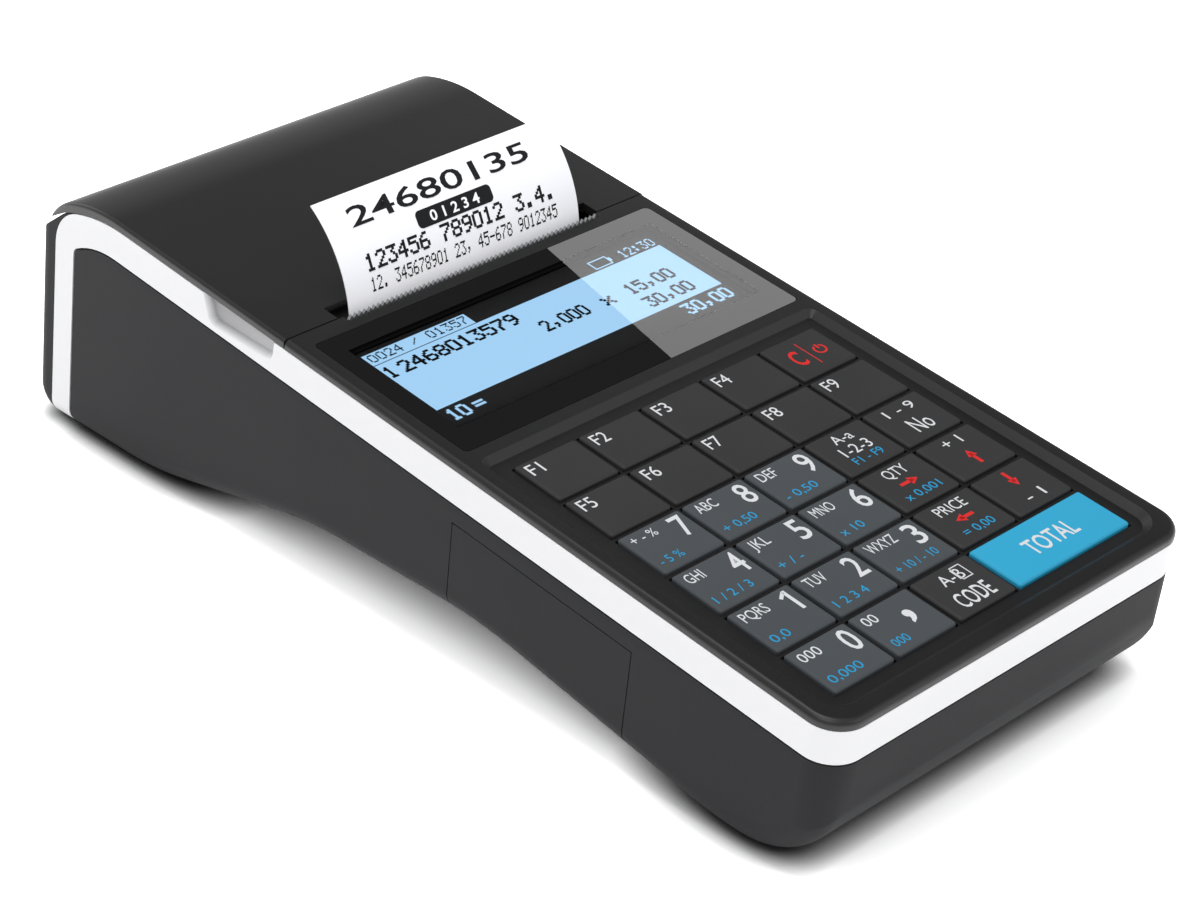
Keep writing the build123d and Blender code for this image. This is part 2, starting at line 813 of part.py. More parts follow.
# everything that stands inside the lower casing, trimmed to end within its wall
with BuildPart() as supports:
    for wall_along in (bay_range[0], bay_range[1] - wall_rib):
        add(block((-half_width, half_width), (wall_along, wall_along + wall_rib), (ceiling_top, deep)))
    add(block((-half_width, half_width), bay_range, (ceiling_top, ceiling_bottom)))
    add(post(front_screws, boss_radius, (frame_wall_bottom, deep)))
    add(post(rear_screws, boss_radius - 0.2, (rear_ear_bottom, rear_ear_bottom + boss_bore_depth)))
    for ledge_range in both_sides(rear_ear_x - boss_radius + 0.2, half_width):
        add(
            block(
                ledge_range,
                (rear_ear_along - boss_radius + 0.2, rear_ear_along + boss_radius),
                (rear_ear_bottom, rear_ear_bottom + ear_thickness),
            )
        )
    for ledge_range in both_sides(bucket_ledge_inner, half_width):
        add(
            block(
                ledge_range,
                (bucket_flange_front + 2 * wall_rib, bucket_flange_back),
                (ledge_top, ledge_top + bucket_ledge_height),
            )
        )
    for catch_range in both_sides(hook_outer + 0.3, half_width):
        catch_bottom = hook_bottom - hook_barb - catch_clearance
        add(
            block(
                catch_range,
                (rear_hook_along - wall_rib, rear_hook_along + hook_thickness + wall_rib),
                (catch_bottom - catch_height, catch_bottom),
            )
        )
    for cradle_range in both_sides(cradle_inner, cradle_outer):
        add(
            block(
                cradle_range,
                (roll_along - cradle_reach, roll_along + cradle_reach),
                (roll_drop + bucket_radius / 2, deep),
            )
        )
    add(rod(bucket_centre, bucket_radius + bucket_wall + band_fit, (-half_width, half_width)), mode=Mode.SUBTRACT)
    with BuildSketch(Plane.XZ.offset(-socket_face - jack_depth)):
        with Locations((jack_x, socket_height - jack_height / 2 - socket_shelf / 2 - socket_fit)):
            Rectangle(jack_across, socket_shelf)
    extrude(amount=2 * jack_depth)
    add(band_core, mode=Mode.INTERSECT)

# lips that back the seams of the battery door
with BuildPart() as door_lips:
    for lip_along in (bay_range[0] + wall_rib - rib_bite, bay_range[1] - 2 * wall_rib):
        add(
            block(
                (-half_width, half_width),
                (lip_along, lip_along + wall_rib + rib_bite),
                (ceiling_top, deep),
            )
        )
    lip_wall = inner_half - door_gap
    for lip_range in both_sides(lip_wall - wall_rib, lip_wall):
        add(block(lip_range, bay_range, (ceiling_top, door_top_drop + door_lip_height)))
    add(door_lip_form, mode=Mode.INTERSECT)

with BuildPart() as lower_casing:
    add(outer_form)
    add(
        block(
            (-casing_width, casing_width),
            (-casing_wall, deck_length),
            (-casing_wall, parting_drop + parting_gap),
        ),
        mode=Mode.SUBTRACT,
    )
    add(inner_form, mode=Mode.SUBTRACT)
    add(band_seat, mode=Mode.SUBTRACT)
    add(block((-inner_half, inner_half), (deck_length - 1, well_back), (-1, casing_wall * 5)), mode=Mode.SUBTRACT)
    add(
        block(
            (-casing_width, casing_width),
            (door_front - door_gap, door_back + door_gap),
            (door_top_drop - door_gap, deep),
        ),
        mode=Mode.SUBTRACT,
    )
    add(supports.part)
    add(door_lips.part)
    add(post(screw_places, screw_shank_radius + screw_hole_clearance, (0, ceiling_bottom + 1)), mode=Mode.SUBTRACT)
    add(post(front_screws, screw_bore, (0, frame_wall_bottom + boss_bore_depth)), mode=Mode.SUBTRACT)
    add(post(rear_screws, screw_bore, (0, rear_ear_bottom + boss_bore_depth)), mode=Mode.SUBTRACT)

    # hinge: casing knuckles on the rim, and hollows that clear the lid's knuckles
    half_knuckle = casing_knuckle_length / 2
    outer_reach = half_knuckle + knuckle_gap + lid_knuckle_length
    for middle in (-hinge_spread, hinge_spread):
        add(rod(hinge_centre, knuckle_radius, (middle - half_knuckle, middle + half_knuckle)))
        for hollow_range in (
            (middle - outer_reach - knuckle_gap, middle - half_knuckle),
            (middle + half_knuckle, middle + outer_reach + knuckle_gap),
        ):
            add(rod(hinge_centre, knuckle_radius + knuckle_clearance, hollow_range), mode=Mode.SUBTRACT)
        add(
            rod(hinge_centre, hinge_pin_radius, (middle - half_knuckle, middle + half_knuckle)),
            mode=Mode.SUBTRACT,
        )

    # seats for the feet and holes for the sockets
    with BuildSketch():
        with Locations(*pad_places):
            Circle(pad_radius + pad_clearance)
    extrude(amount=pad_thickness, mode=Mode.SUBTRACT)
    with BuildSketch(Plane.XZ.offset(-casing_length)):
        with Locations((jack_x, socket_height)):
            Rectangle(jack_across + 2 * socket_fit, jack_height + 2 * socket_fit)
        with Locations((port_x, socket_height)):
            RectangleRounded(
                port_across + 2 * socket_fit, port_height + 2 * socket_fit, port_height / 2 - port_wall
            )
    extrude(amount=casing_length - socket_face + casing_wall * 2, mode=Mode.SUBTRACT)
save(lower_casing, "lower_casing")

# ---------------------------------------------------------------- battery door
with BuildPart() as grip:
    first_groove = door_back - (door_grooves + 1) * door_groove_pitch
    for groove in range(door_grooves):
        groove_along = first_groove + groove * door_groove_pitch
        add(
            block(
                (-door_groove_half, door_groove_half),
                (groove_along, groove_along + door_groove_width),
                (door_top_drop, deep),
            )
        )
    add(groove_core, mode=Mode.SUBTRACT)

with BuildPart() as battery_door:
    add(outer_form)
    add(
        block((-casing_width, casing_width), (door_front, door_back), (door_top_drop, deep)),
        mode=Mode.INTERSECT,
    )
    add(inner_form, mode=Mode.SUBTRACT)
    add(grip.part, mode=Mode.SUBTRACT)
save(battery_door, "battery_door")

with BuildPart() as battery_pack:
    battery_middle = (door_front + door_back) / 2
    battery_top = ceiling_bottom + battery_gap
    battery_range = (battery_middle - battery_along / 2, battery_middle + battery_along / 2)
    add(
        block(
            (-battery_across / 2, battery_across / 2),
            battery_range,
            (battery_top, battery_top + battery_thickness),
        )
    )
    fillet(battery_pack.edges().filter_by(Axis.X), battery_corner)
save(battery_pack, "battery_pack")

# ---------------------------------------------------------------- paper lid
lid_front = deck_length + seam_gap / 2
lid_top_bend = (
    lid_top_bend_along + lid_bend_radius * sin(radians(lid_top_turn)),
    -lid_bend_radius * (1 - cos(radians(lid_top_turn))),
)
with BuildPart() as paper_lid:
    with BuildSketch(side):
        with BuildLine():
            lid_top = Line((lid_front, 0), (lid_top_bend_along, 0))
            lid_bend = JernArc(lid_top @ 1, (1, 0), lid_bend_radius, -lid_top_turn)
            lid_tail = JernArc(lid_bend @ 1, lid_bend % 1, lid_tail_radius, -lid_tail_turn)
            lid_tip = Line(lid_tail @ 1, turned(tuple(lid_tail @ 1), lid_tip_heading, lid_tip_length))
            under_bend = JernArc(
                (lid_bend_along, -lid_thickness), (1, 0), lid_bend_radius + lid_gap, -lid_under_turn
            )
            Line(lid_tip @ 1, under_bend @ 1)
            Polyline((lid_bend_along, -lid_thickness), (lid_front, -lid_thickness), (lid_front, 0))
        make_face()
    extrude(amount=half_width, both=True)

    def on_lid_side(edge):
        place = side.to_local_coords(edge.center())
        return abs(abs(place.Z) - half_width) < 0.01 and edge.length > 5

    top_side_edges = paper_lid.faces().filter_by(lambda face: face.normal_at().dot(deck.z_dir) > 0.5).edges()
    fillet(top_side_edges.filter_by(on_lid_side), lid_edge_radius)

    # slot for the ticket, its back edge ramped
    with BuildSketch(side):
        with BuildLine():
            ramp = lid_thickness * tan(radians(slot_ramp))
            Polyline(
                (lid_front - 1, 1),
                (slot_back_along, 1),
                (slot_back_along, -lid_thickness + ramp),
                (slot_back_along + ramp, -lid_thickness - 1),
                (lid_front - 1, -lid_thickness - 1),
                close=True,
            )
        make_face()
    extrude(amount=slot_half_width, both=True, mode=Mode.SUBTRACT)

    # hinge: clearance for the casing knuckles, then the lid's own knuckles and their webs
    for middle in (-hinge_spread, hinge_spread):
        clear_half = half_knuckle + knuckle_gap
        add(
            rod(hinge_centre, knuckle_radius + knuckle_clearance, (middle - clear_half, middle + clear_half)),
            mode=Mode.SUBTRACT,
        )
        for knuckle_range in (
            (middle - outer_reach, middle - clear_half),
            (middle + clear_half, middle + outer_reach),
        ):
            add(rod(hinge_centre, knuckle_radius, knuckle_range))
            tail_end = tuple(lid_tail @ 1)
            add(
                plate(
                    (
                        (tail_end[0] - 0.5, tail_end[1] - 0.3),
                        (tail_end[0], tail_end[1]),
                        turned(hinge_centre, 55, knuckle_radius - 0.02),
                        hinge_centre,
                        turned(hinge_centre, 145, knuckle_radius - 0.02),
                    ),
                    knuckle_range,
                )
            )
        add(
            rod(
                hinge_centre,
                hinge_pin_radius + hinge_running_clearance,
                (middle - outer_reach - 1, middle + outer_reach + 1),
            ),
            mode=Mode.SUBTRACT,
        )
save(paper_lid, "paper_lid")

with BuildPart() as hinge_pins:
    for middle in (-hinge_spread, hinge_spread):
        add(rod(hinge_centre, hinge_pin_radius, (middle - outer_reach, middle + outer_reach)))
save(hinge_pins, "hinge_pins")

# ---------------------------------------------------------------- platen carrier under the lid
platen_centre = (platen_along, -platen_drop)
liner_front = slot_back_along + lid_thickness + 0.4
liner_bottom = lid_thickness + liner_thickness
with BuildPart() as platen_carrier:
    add(block((-liner_half_width, liner_half_width), (liner_front, liner_back), (lid_thickness, liner_bottom)))
    for cheek_range in both_sides(cheek_inner_half, cheek_inner_half + cheek_thickness):
        add(
            plate(
                (
                    turned(platen_centre, 160, cheek_radius),
                    (liner_front, -lid_thickness - liner_thickness / 2),
                    (liner_front + 2 * cheek_radius, -lid_thickness - liner_thickness / 2),
                    turned(platen_centre, 20, cheek_radius),
                ),
                cheek_range,
            )
        )
        add(rod(platen_centre, cheek_radius, cheek_range))
        add(rod(platen_centre, bush_radius, cheek_range), mode=Mode.SUBTRACT)
save(platen_carrier, "platen_carrier")

with BuildPart() as platen_bearings:
    for bush_range in both_sides(cheek_inner_half, bush_outer_half):
        add(rod(platen_centre, bush_radius, bush_range, shaft_radius + shaft_running_clearance))
save(platen_bearings, "platen_bearings")

with BuildPart() as platen_roller:
    add(rod(platen_centre, platen_radius, (-platen_length / 2, platen_length / 2), shaft_radius))
save(platen_roller, "platen_roller")

gear_end = gear_start + gear_width
with BuildPart() as platen_shaft:
    add(rod(platen_centre, shaft_radius, (-bush_outer_half - 0.5, gear_end + 0.3)))
    chamfer(platen_shaft.edges().group_by(Axis.X)[0], 0.3)
    chamfer(platen_shaft.edges().group_by(Axis.X)[-1], 0.3)
save(platen_shaft, "platen_shaft")

# ---------------------------------------------------------------- gears
def involute(angle):
    """Involute function of an angle in radians."""
    return tan(angle) - angle


def gear_blank(centre, teeth, phase, x_range):
    """A spur gear with involute teeth; phase is the heading of one tooth in degrees."""
    pitch_radius = gear_module * teeth / 2
    base_radius = pitch_radius * cos(radians(pressure_angle))
    tip_radius = pitch_radius + addendum * gear_module
    root_radius = pitch_radius - dedendum * gear_module
    half_tooth = (pi * gear_module - gear_backlash) / 4 / pitch_radius
    start_radius = max(base_radius, root_radius)
    flank = [(root_radius, half_tooth + involute(radians(pressure_angle)))]
    for step in range(3):
        radius = start_radius + (tip_radius - start_radius) * step / 2
        at_base = sqrt(max(0, (radius / base_radius) ** 2 - 1))
        roll_angle = involute(radians(pressure_angle)) - (at_base - atan2(at_base, 1))
        flank.append((radius, half_tooth + roll_angle))
    outline = []
    for tooth in range(teeth):
        heading = phase + tooth * 360 / teeth
        for radius, swing in flank:
            outline.append(turned(centre, heading - degrees(swing), radius))
        for radius, swing in reversed(flank):
            outline.append(turned(centre, heading + degrees(swing), radius))
    return plate(outline, x_range)


idler_centre = turned(platen_centre, idler_angle, gear_module * (platen_teeth + idler_teeth) / 2 + gear_centre_slack)
pinion_centre = turned(idler_centre, pinion_angle, gear_module * (idler_teeth + pinion_teeth) / 2 + gear_centre_slack)
idler_phase = idler_angle + 180 + 180 / idler_teeth
tooth_lag = (pinion_angle - idler_phase) % (360 / idler_teeth)
pinion_phase = pinion_angle + 180 + tooth_lag * idler_teeth / pinion_teeth + 180 / pinion_teeth
gear_range = (gear_start, gear_end)
frame_outer_half = frame_inner_half + frame_plate

with BuildPart() as platen_gear:
    add(gear_blank(platen_centre, platen_teeth, idler_angle, gear_range))
    add(rod(platen_centre, shaft_radius, (gear_start - 1, gear_end + 1)), mode=Mode.SUBTRACT)
save(platen_gear, "platen_gear")

with BuildPart() as idler_gear:
    add(gear_blank(idler_centre, idler_teeth, idler_phase, gear_range))
    add(rod(idler_centre, idler_hub_radius, (frame_outer_half + 0.2, gear_end)))
    add(
        rod(idler_centre, idler_pin_radius + shaft_running_clearance, (gear_start - 3, gear_end + 1)),
        mode=Mode.SUBTRACT,
    )
save(idler_gear, "idler_gear")

with BuildPart() as motor_pinion:
    add(gear_blank(pinion_centre, pinion_teeth, pinion_phase, gear_range))
    add(rod(pinion_centre, pinion_shaft_radius, (frame_inner_half - motor_length / 2, gear_end)))
save(motor_pinion, "motor_pinion")

with BuildPart() as feed_motor:
    add(rod(pinion_centre, motor_radius, (frame_inner_half - motor_length, frame_inner_half)))
    chamfer(feed_motor.edges().group_by(Axis.X)[0], 0.6)
    add(rod(pinion_centre, motor_boss_radius, (frame_inner_half - 1, frame_inner_half + motor_boss_height)))
    add(
        rod(
            pinion_centre,
            pinion_shaft_radius + shaft_running_clearance,
            (frame_inner_half - motor_length / 2 - 0.3, frame_inner_half + 2),
        ),
        mode=Mode.SUBTRACT,
    )
save(feed_motor, "feed_motor")

# ---------------------------------------------------------------- printer frame
slot_half = bush_radius + frame_slot_clearance
with BuildPart() as printer_frame:
    for plate_range in both_sides(frame_inner_half, frame_outer_half):
        add(
            plate(
                (
                    (frame_front, -frame_front_drop),
                    (frame_step, -frame_front_drop),
                    (frame_step, -frame_top_drop),
                    (frame_back, -frame_top_drop),
                    (frame_back, -tie_drop + 2 * tie_radius),
                    (tie_along, -frame_bottom_drop + 2 * cheek_radius - 3),
                    (pinion_centre[0] + motor_radius, -frame_bottom_drop),
                    (frame_front + 2, -frame_bottom_drop),
                    (frame_front, -frame_bottom_drop + 2),
                ),
                plate_range,
            )
        )
    add(
        block(
            (-frame_outer_half, frame_outer_half),
            (frame_front, frame_front + frame_plate),
            (frame_front_drop, frame_wall_bottom),
        )
    )
    add(rod((tie_along, -tie_drop), tie_radius, (-frame_outer_half, frame_outer_half)))
    for ear_x in (-front_ear_x, front_ear_x):
        add(
            block(
                (ear_x - front_ear_half, ear_x + front_ear_half),
                (frame_front - front_ear_reach, frame_front + rib_bite),
                (frame_wall_bottom - ear_thickness, frame_wall_bottom),
            )
        )
    for ear_range in both_sides(frame_outer_half - rib_bite, rear_ear_x + boss_radius):
        add(
            block(
                ear_range,
                (rear_ear_along - boss_radius + 0.2, rear_ear_along + boss_radius),
                (rear_ear_drop, rear_ear_bottom),
            )
        )
    add(post(front_screws + rear_screws, screw_bore + screw_hole_clearance, (0, frame_wall_bottom + 1)), mode=Mode.SUBTRACT)
    with BuildSketch(side):
        with BuildLine():
            Polyline(
                (platen_along - slot_half, -platen_drop),
                (platen_along - slot_half, 0),
                (platen_along + slot_half + frame_slot_flare, 0),
                (platen_along + slot_half, -platen_drop),
                close=True,
            )
        make_face()
        with Locations(platen_centre):
            Circle(slot_half)
    extrude(amount=casing_width, both=True, mode=Mode.SUBTRACT)
    add(
        rod(pinion_centre, motor_boss_radius + band_fit, (frame_inner_half - 1, frame_outer_half + 1)),
        mode=Mode.SUBTRACT,
    )
    add(rod(idler_centre, idler_pin_radius, (frame_inner_half, gear_end + 0.2)))
    add(rod(idler_centre, idler_cap_radius, (gear_end + 0.2, gear_end + 0.8)))
save(printer_frame, "printer_frame")

# ---------------------------------------------------------------- print head and its springs
paper_front = platen_along - platen_radius - roll_gap - paper_thickness
head_range = (-head_half_length, head_half_length)
sink_back = paper_front - head_ceramic
head_bottom = head_top_drop + head_height
with BuildPart() as print_head:
    add(block(head_range, (sink_back - head_sink, paper_front), (head_top_drop, head_bottom)))
    chamfer(print_head.edges().filter_by(Axis.X).group_by(Axis(deck.origin, deck.z_dir))[-1].sort_by(Axis.Y)[-1], 0.4)
    fin_pitch = head_height / head_fins
    for fin in range(head_fins - 1):
        groove_top = head_top_drop + (fin + 0.75) * fin_pitch
        add(
            block(
                (-head_half_length - 1, head_half_length + 1),
                (sink_back - head_sink - 1, sink_back - head_sink + head_fin_depth),
                (groove_top, groove_top + fin_pitch / 2),
            ),
            mode=Mode.SUBTRACT,
        )
save(print_head, "print_head")

spring_front = frame_front + frame_plate
spring_length = sink_back - head_sink - spring_front
with BuildPart() as head_springs:
    for spring_x in (-spring_half_spread, spring_half_spread):
        with BuildSketch(across(spring_x - spring_half_width)):
            with BuildLine():
                near = spring_front
                far = spring_front + spring_length
                Polyline(
                    (near, -spring_drop - spring_reach),
                    (near, -spring_drop - spring_reach + spring_sheet),
                    (far - spring_sheet, -spring_drop - spring_land),
                    (far - spring_sheet, -spring_drop + spring_land),
                    (near, -spring_drop + spring_reach - spring_sheet),
                    (near, -spring_drop + spring_reach),
                    (far, -spring_drop + spring_land),
                    (far, -spring_drop - spring_land),
                    close=True,
                )
            make_face()
        extrude(amount=2 * spring_half_width)
save(head_springs, "head_springs")

# ---------------------------------------------------------------- paper
web_heading = degrees(atan2(platen_centre[1] - roll_centre[1], platen_centre[0] - roll_centre[0]))
centre_distance = hypot(platen_centre[1] - roll_centre[1], platen_centre[0] - roll_centre[0])
radius_drop = roll_radius - platen_radius
tangent_heading = web_heading + degrees(atan2(sqrt(centre_distance**2 - radius_drop**2), radius_drop))
half_paper = paper_width / 2
with BuildPart() as paper_web:
    with BuildSketch(side):
        with BuildLine():
            near = roll_gap
            far = roll_gap + paper_thickness
            inner_run = Line(
                turned(roll_centre, tangent_heading, roll_radius + near),
                turned(platen_centre, tangent_heading, platen_radius + near),
            )
            inner_wrap = CenterArc(platen_centre, platen_radius + near, tangent_heading, 180 - tangent_heading)
            inner_rise = Line(inner_wrap @ 1, ((inner_wrap @ 1).X, -strip_start_drop - 0.1))
            outer_run = Line(
                turned(roll_centre, tangent_heading, roll_radius + far),
                turned(platen_centre, tangent_heading, platen_radius + far),
            )
            outer_wrap = CenterArc(platen_centre, platen_radius + far, tangent_heading, 180 - tangent_heading)
            outer_rise = Line(outer_wrap @ 1, ((outer_wrap @ 1).X, -strip_start_drop - 0.1))
            Line(inner_run @ 0, outer_run @ 0)
            Line(inner_rise @ 1, outer_rise @ 1)
        make_face()
    extrude(amount=half_paper, both=True)
save(paper_web, "paper_web")

with BuildPart() as paper_strip:
    with BuildSketch(side):
        with BuildLine():
            front_start = (paper_front, -strip_start_drop)
            back_start = turned(front_start, strip_lean - 90, paper_thickness)
            front_rise = Line(front_start, turned(front_start, strip_lean, strip_straight))
            front_curl = JernArc(front_rise @ 1, front_rise % 1, strip_radius, -strip_turn)
            back_rise = Line(back_start, turned(back_start, strip_lean, strip_straight))
            back_curl = JernArc(back_rise @ 1, back_rise % 1, strip_radius - paper_thickness, -strip_turn)
            Line(front_start, back_start)
            Line(front_curl @ 1, back_curl @ 1)
        make_face()
    extrude(amount=half_paper, both=True)
save(paper_strip, "paper_strip")

with BuildPart() as roll_core:
    add(rod(roll_centre, roll_core_radius, (-half_paper - 0.3, half_paper + 0.3), roll_core_radius - roll_core_wall))
save(roll_core, "roll_core")

with BuildPart() as paper_roll:
    add(rod(roll_centre, roll_radius, (-half_paper, half_paper), roll_core_radius))
save(paper_roll, "paper_roll")

# ---------------------------------------------------------------- roll bucket
def bucket_profile(grow, chute_length, front_point, top):
    """Side view of the bucket's hollow, or of its outside when grown by its wall."""
    radius = bucket_radius + grow
    with BuildSketch(side) as profile:
        with BuildLine():
            back_wall = Line(
                (bucket_centre[0] + radius, top), (bucket_centre[0] + radius, bucket_centre[1])
            )
            trough = CenterArc(bucket_centre, radius, 0, tangent_heading - 360)
            chute = Line(trough @ 1, turned(tuple(trough @ 1), tangent_heading - 90, chute_length))
            Polyline(chute @ 1, *front_point, back_wall @ 0)
        make_face()
    return profile.sketch


bucket_top = -bucket_flange_drop
outer_half = bucket_half_width + bucket_wall
mouth_range = (bucket_mouth_front, bucket_centre[0] + bucket_radius)
with BuildPart() as roll_bucket:
    extrude(
        bucket_profile(bucket_wall, bucket_chute_length, [(bucket_flange_front, bucket_top)], bucket_top),
        amount=outer_half,
        both=True,
    )
    add(
        block(
            (-bucket_flange_half, bucket_flange_half),
            (bucket_flange_front, bucket_flange_back),
            (bucket_flange_drop, ledge_top),
        )
    )
    extrude(
        bucket_profile(
            0,
            bucket_chute_length * 1.2,
            [(frame_front, -bucket_flange_drop - 2 * bucket_flange_thickness), (mouth_range[0], -ledge_top), (mouth_range[0], 1)],
            1,
        ),
        amount=bucket_half_width,
        both=True,
        mode=Mode.SUBTRACT,
    )
save(roll_bucket, "roll_bucket")

# ---------------------------------------------------------------- feet, screws and sockets
with BuildPart() as rubber_feet:
    with BuildSketch():
        with Locations(*pad_places):
            Circle(pad_radius)
    extrude(amount=pad_thickness)
save(rubber_feet, "rubber_feet")


def screws(places, head_drop, toward):
    """Screws at places on the deck, each with its head under or over the given drop."""
    with BuildPart() as made:
        for place in places:
            seat = Plane(
                deck.from_local_coords((place[0], place[1], -head_drop)),
                x_dir=deck.x_dir,
                z_dir=deck.z_dir * toward,
            )
            with BuildSketch(seat):
                Circle(screw_head_radius)
            extrude(amount=screw_head_height)
            with BuildSketch(seat.offset(screw_head_height)):
                RegularPolygon(screw_recess_radius, 6)
            extrude(amount=-screw_recess_depth, mode=Mode.SUBTRACT)
            with BuildSketch(seat):
                Circle(screw_shank_radius)
            extrude(amount=-screw_length)
    return made.part


with BuildPart() as casing_screws:
    add(screws(screw_places, ceiling_bottom, -1))
    add(screws(front_screws, frame_wall_bottom - ear_thickness, 1))
    add(screws(rear_screws, rear_ear_drop, 1))
save(casing_screws, "casing_screws")

with BuildPart() as rear_sockets:
    jack_face = Plane.XZ.offset(-casing_length)
    jack_back = casing_length - socket_face + jack_depth
    with BuildSketch(jack_face):
        with Locations((jack_x, socket_height)):
            Rectangle(jack_across, jack_height)
    extrude(amount=jack_back)
    with BuildSketch(jack_face):
        with Locations((port_x, socket_height)):
            RectangleRounded(port_across, port_height, port_height / 2 - port_wall)
    extrude(amount=casing_length - socket_face + port_depth)
    add(socket_form, mode=Mode.INTERSECT)
    with BuildSketch(jack_face):
        with Locations((jack_x, socket_height)):
            Circle(jack_hole_radius)
            Circle(jack_pin_radius, mode=Mode.SUBTRACT)
        with Locations((port_x, socket_height)):
            RectangleRounded(
                port_across - 2 * port_wall, port_height - 2 * port_wall, port_height / 2 - 2 * port_wall
            )
            Rectangle(port_across / 2, port_tongue, mode=Mode.SUBTRACT)
    extrude(amount=casing_length - socket_face + port_depth * 0.75, mode=Mode.SUBTRACT)
save(rear_sockets, "rear_sockets")
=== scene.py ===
import json
import math
import re

import bpy
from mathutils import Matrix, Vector


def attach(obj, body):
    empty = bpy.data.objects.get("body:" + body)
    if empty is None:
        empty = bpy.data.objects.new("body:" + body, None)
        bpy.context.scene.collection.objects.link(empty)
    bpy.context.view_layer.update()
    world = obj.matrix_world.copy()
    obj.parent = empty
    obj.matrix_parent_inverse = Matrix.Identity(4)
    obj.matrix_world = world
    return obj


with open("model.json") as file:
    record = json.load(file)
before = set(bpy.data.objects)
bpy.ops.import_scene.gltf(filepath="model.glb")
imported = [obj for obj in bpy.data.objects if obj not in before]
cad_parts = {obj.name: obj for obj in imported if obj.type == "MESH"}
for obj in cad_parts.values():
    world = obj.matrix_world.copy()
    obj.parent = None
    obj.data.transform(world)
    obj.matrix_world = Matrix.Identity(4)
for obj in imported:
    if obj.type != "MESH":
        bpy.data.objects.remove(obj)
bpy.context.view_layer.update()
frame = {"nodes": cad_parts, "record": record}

# ---------------------------------------------------------------- shared sizes, in millimetres
MM = 0.001
TILT = math.radians(6.5)  # slope of the deck
DECK_FRONT = -107.3  # the deck's front edge, in the world
DECK_HEIGHT = 33.0
KEY_TOP = -0.5  # heights against the deck
DISPLAY_TOP = -1.7
PRINT_LIFT = 0.01  # how far a legend's middle stands off its key
COLUMN_PITCH = 15.0
ROW_PITCH = 12.6
KEYPAD_BACK = 82.4
SIGN_DEPTH = 0.006  # thickness of every printed sign and display cell
SIGN_EASE = 0.0015  # chamfer along their edges


# ---------------------------------------------------------------- small tools
def deck_point(x, along, up):
    """World place of a point given in millimetres across, along and above the deck."""
    y = DECK_FRONT + along * math.cos(TILT) - up * math.sin(TILT)
    z = DECK_HEIGHT + along * math.sin(TILT) + up * math.cos(TILT)
    return Vector((x, y, z)) * MM


def tone(red, green, blue):
    """A paint chip's 0 to 255 numbers as linear colour."""
    return tuple(
        v / 12.92 if v <= 0.04045 else ((v + 0.055) / 1.055) ** 2.4
        for v in (red / 255, green / 255, blue / 255)
    )


def only(*pieces):
    """Select these pieces and nothing else; the first is the active one."""
    bpy.ops.object.select_all(action="DESELECT")
    for piece in pieces:
        piece.select_set(True)
    bpy.context.view_layer.objects.active = pieces[0]


def settle(piece, turn, place):
    """Turn a piece, put it in its place and leave both in its mesh."""
    only(piece)
    piece.rotation_euler = turn
    piece.location = place
    bpy.ops.object.transform_apply(location=True, rotation=True, scale=True)
    return piece


def moved(piece, x, along):
    """Shift a flat sign by millimetres before it is laid down."""
    return settle(piece, (0, 0, 0), (x * MM, along * MM, 0))


def on_deck(piece, x, along, up):
    """Lay a flat piece on the deck."""
    return settle(piece, (TILT, 0, 0), deck_point(x, along, up))


def joined(pieces, name):
    """Join pieces into one with a plain name."""
    only(*pieces)
    if len(pieces) > 1:
        bpy.ops.object.join()
    made = bpy.context.view_layer.objects.active
    made.name = name
    made.data.name = name
    return made


def dress(piece, material, body):
    """Give a finished piece its material and body."""
    piece.data.materials.clear()
    piece.data.materials.append(material)
    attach(piece, body)
    return piece


# ---------------------------------------------------------------- shader nodes
def feed(tree, node, feeds):
    """Set a node's inputs: a feed is a plain value, or the output that is linked to the input."""
    for socket, value in feeds.items():
        if isinstance(value, bpy.types.NodeSocket):
            tree.links.new(value, node.inputs[socket])
        else:
            node.inputs[socket].default_value = value
    return node


def new_node(tree, kind, feeds=None, **settings):
    """Add a node of a kind, with its settings and feeds."""
    node = tree.nodes.new("ShaderNode" + kind)
    for setting, value in settings.items():
        setattr(node, setting, value)
    return feed(tree, node, feeds or {})


def maths(tree, operation, *numbers):
    """The result of a Math node on plain numbers or outputs."""
    return new_node(tree, "Math", dict(enumerate(numbers)), operation=operation).outputs[0]


def colour_mix(tree, factor, first, second):
    """The colour between two others. A Mix node takes them in inputs 6 and 7 and gives it in output 2."""
    return new_node(tree, "Mix", {0: factor, 6: first, 7: second}, data_type="RGBA").outputs[2]


def shader_mix(tree, factor, first, second):
    """The shader node that goes from the first shader to the second."""
    return new_node(tree, "MixShader", {0: factor, 1: first.outputs[0], 2: second.outputs[0]})


def object_place(tree):
    """The piece's own coordinates, so that a pattern stays where it is on the piece."""
    return new_node(tree, "TexCoord").outputs["Object"]


def new_material(name):
    """A material with its first nodes, and their tree."""
    made = bpy.data.materials.new(name)
    made.use_nodes = True
    return made, made.node_tree


# ---------------------------------------------------------------- finishes
DRIFT_COARSER = 22  # the drift in colour is this much coarser than the grain
ROUGHNESS_DRIFT = 0.04
GRAIN_HEIGHT = 0.2
UNLIT_SHARE = 0.02  # how much of the glow's colour the display's surface has by itself
DOT_DIP = 0.97  # the glow between the display's dots, against the glow on them


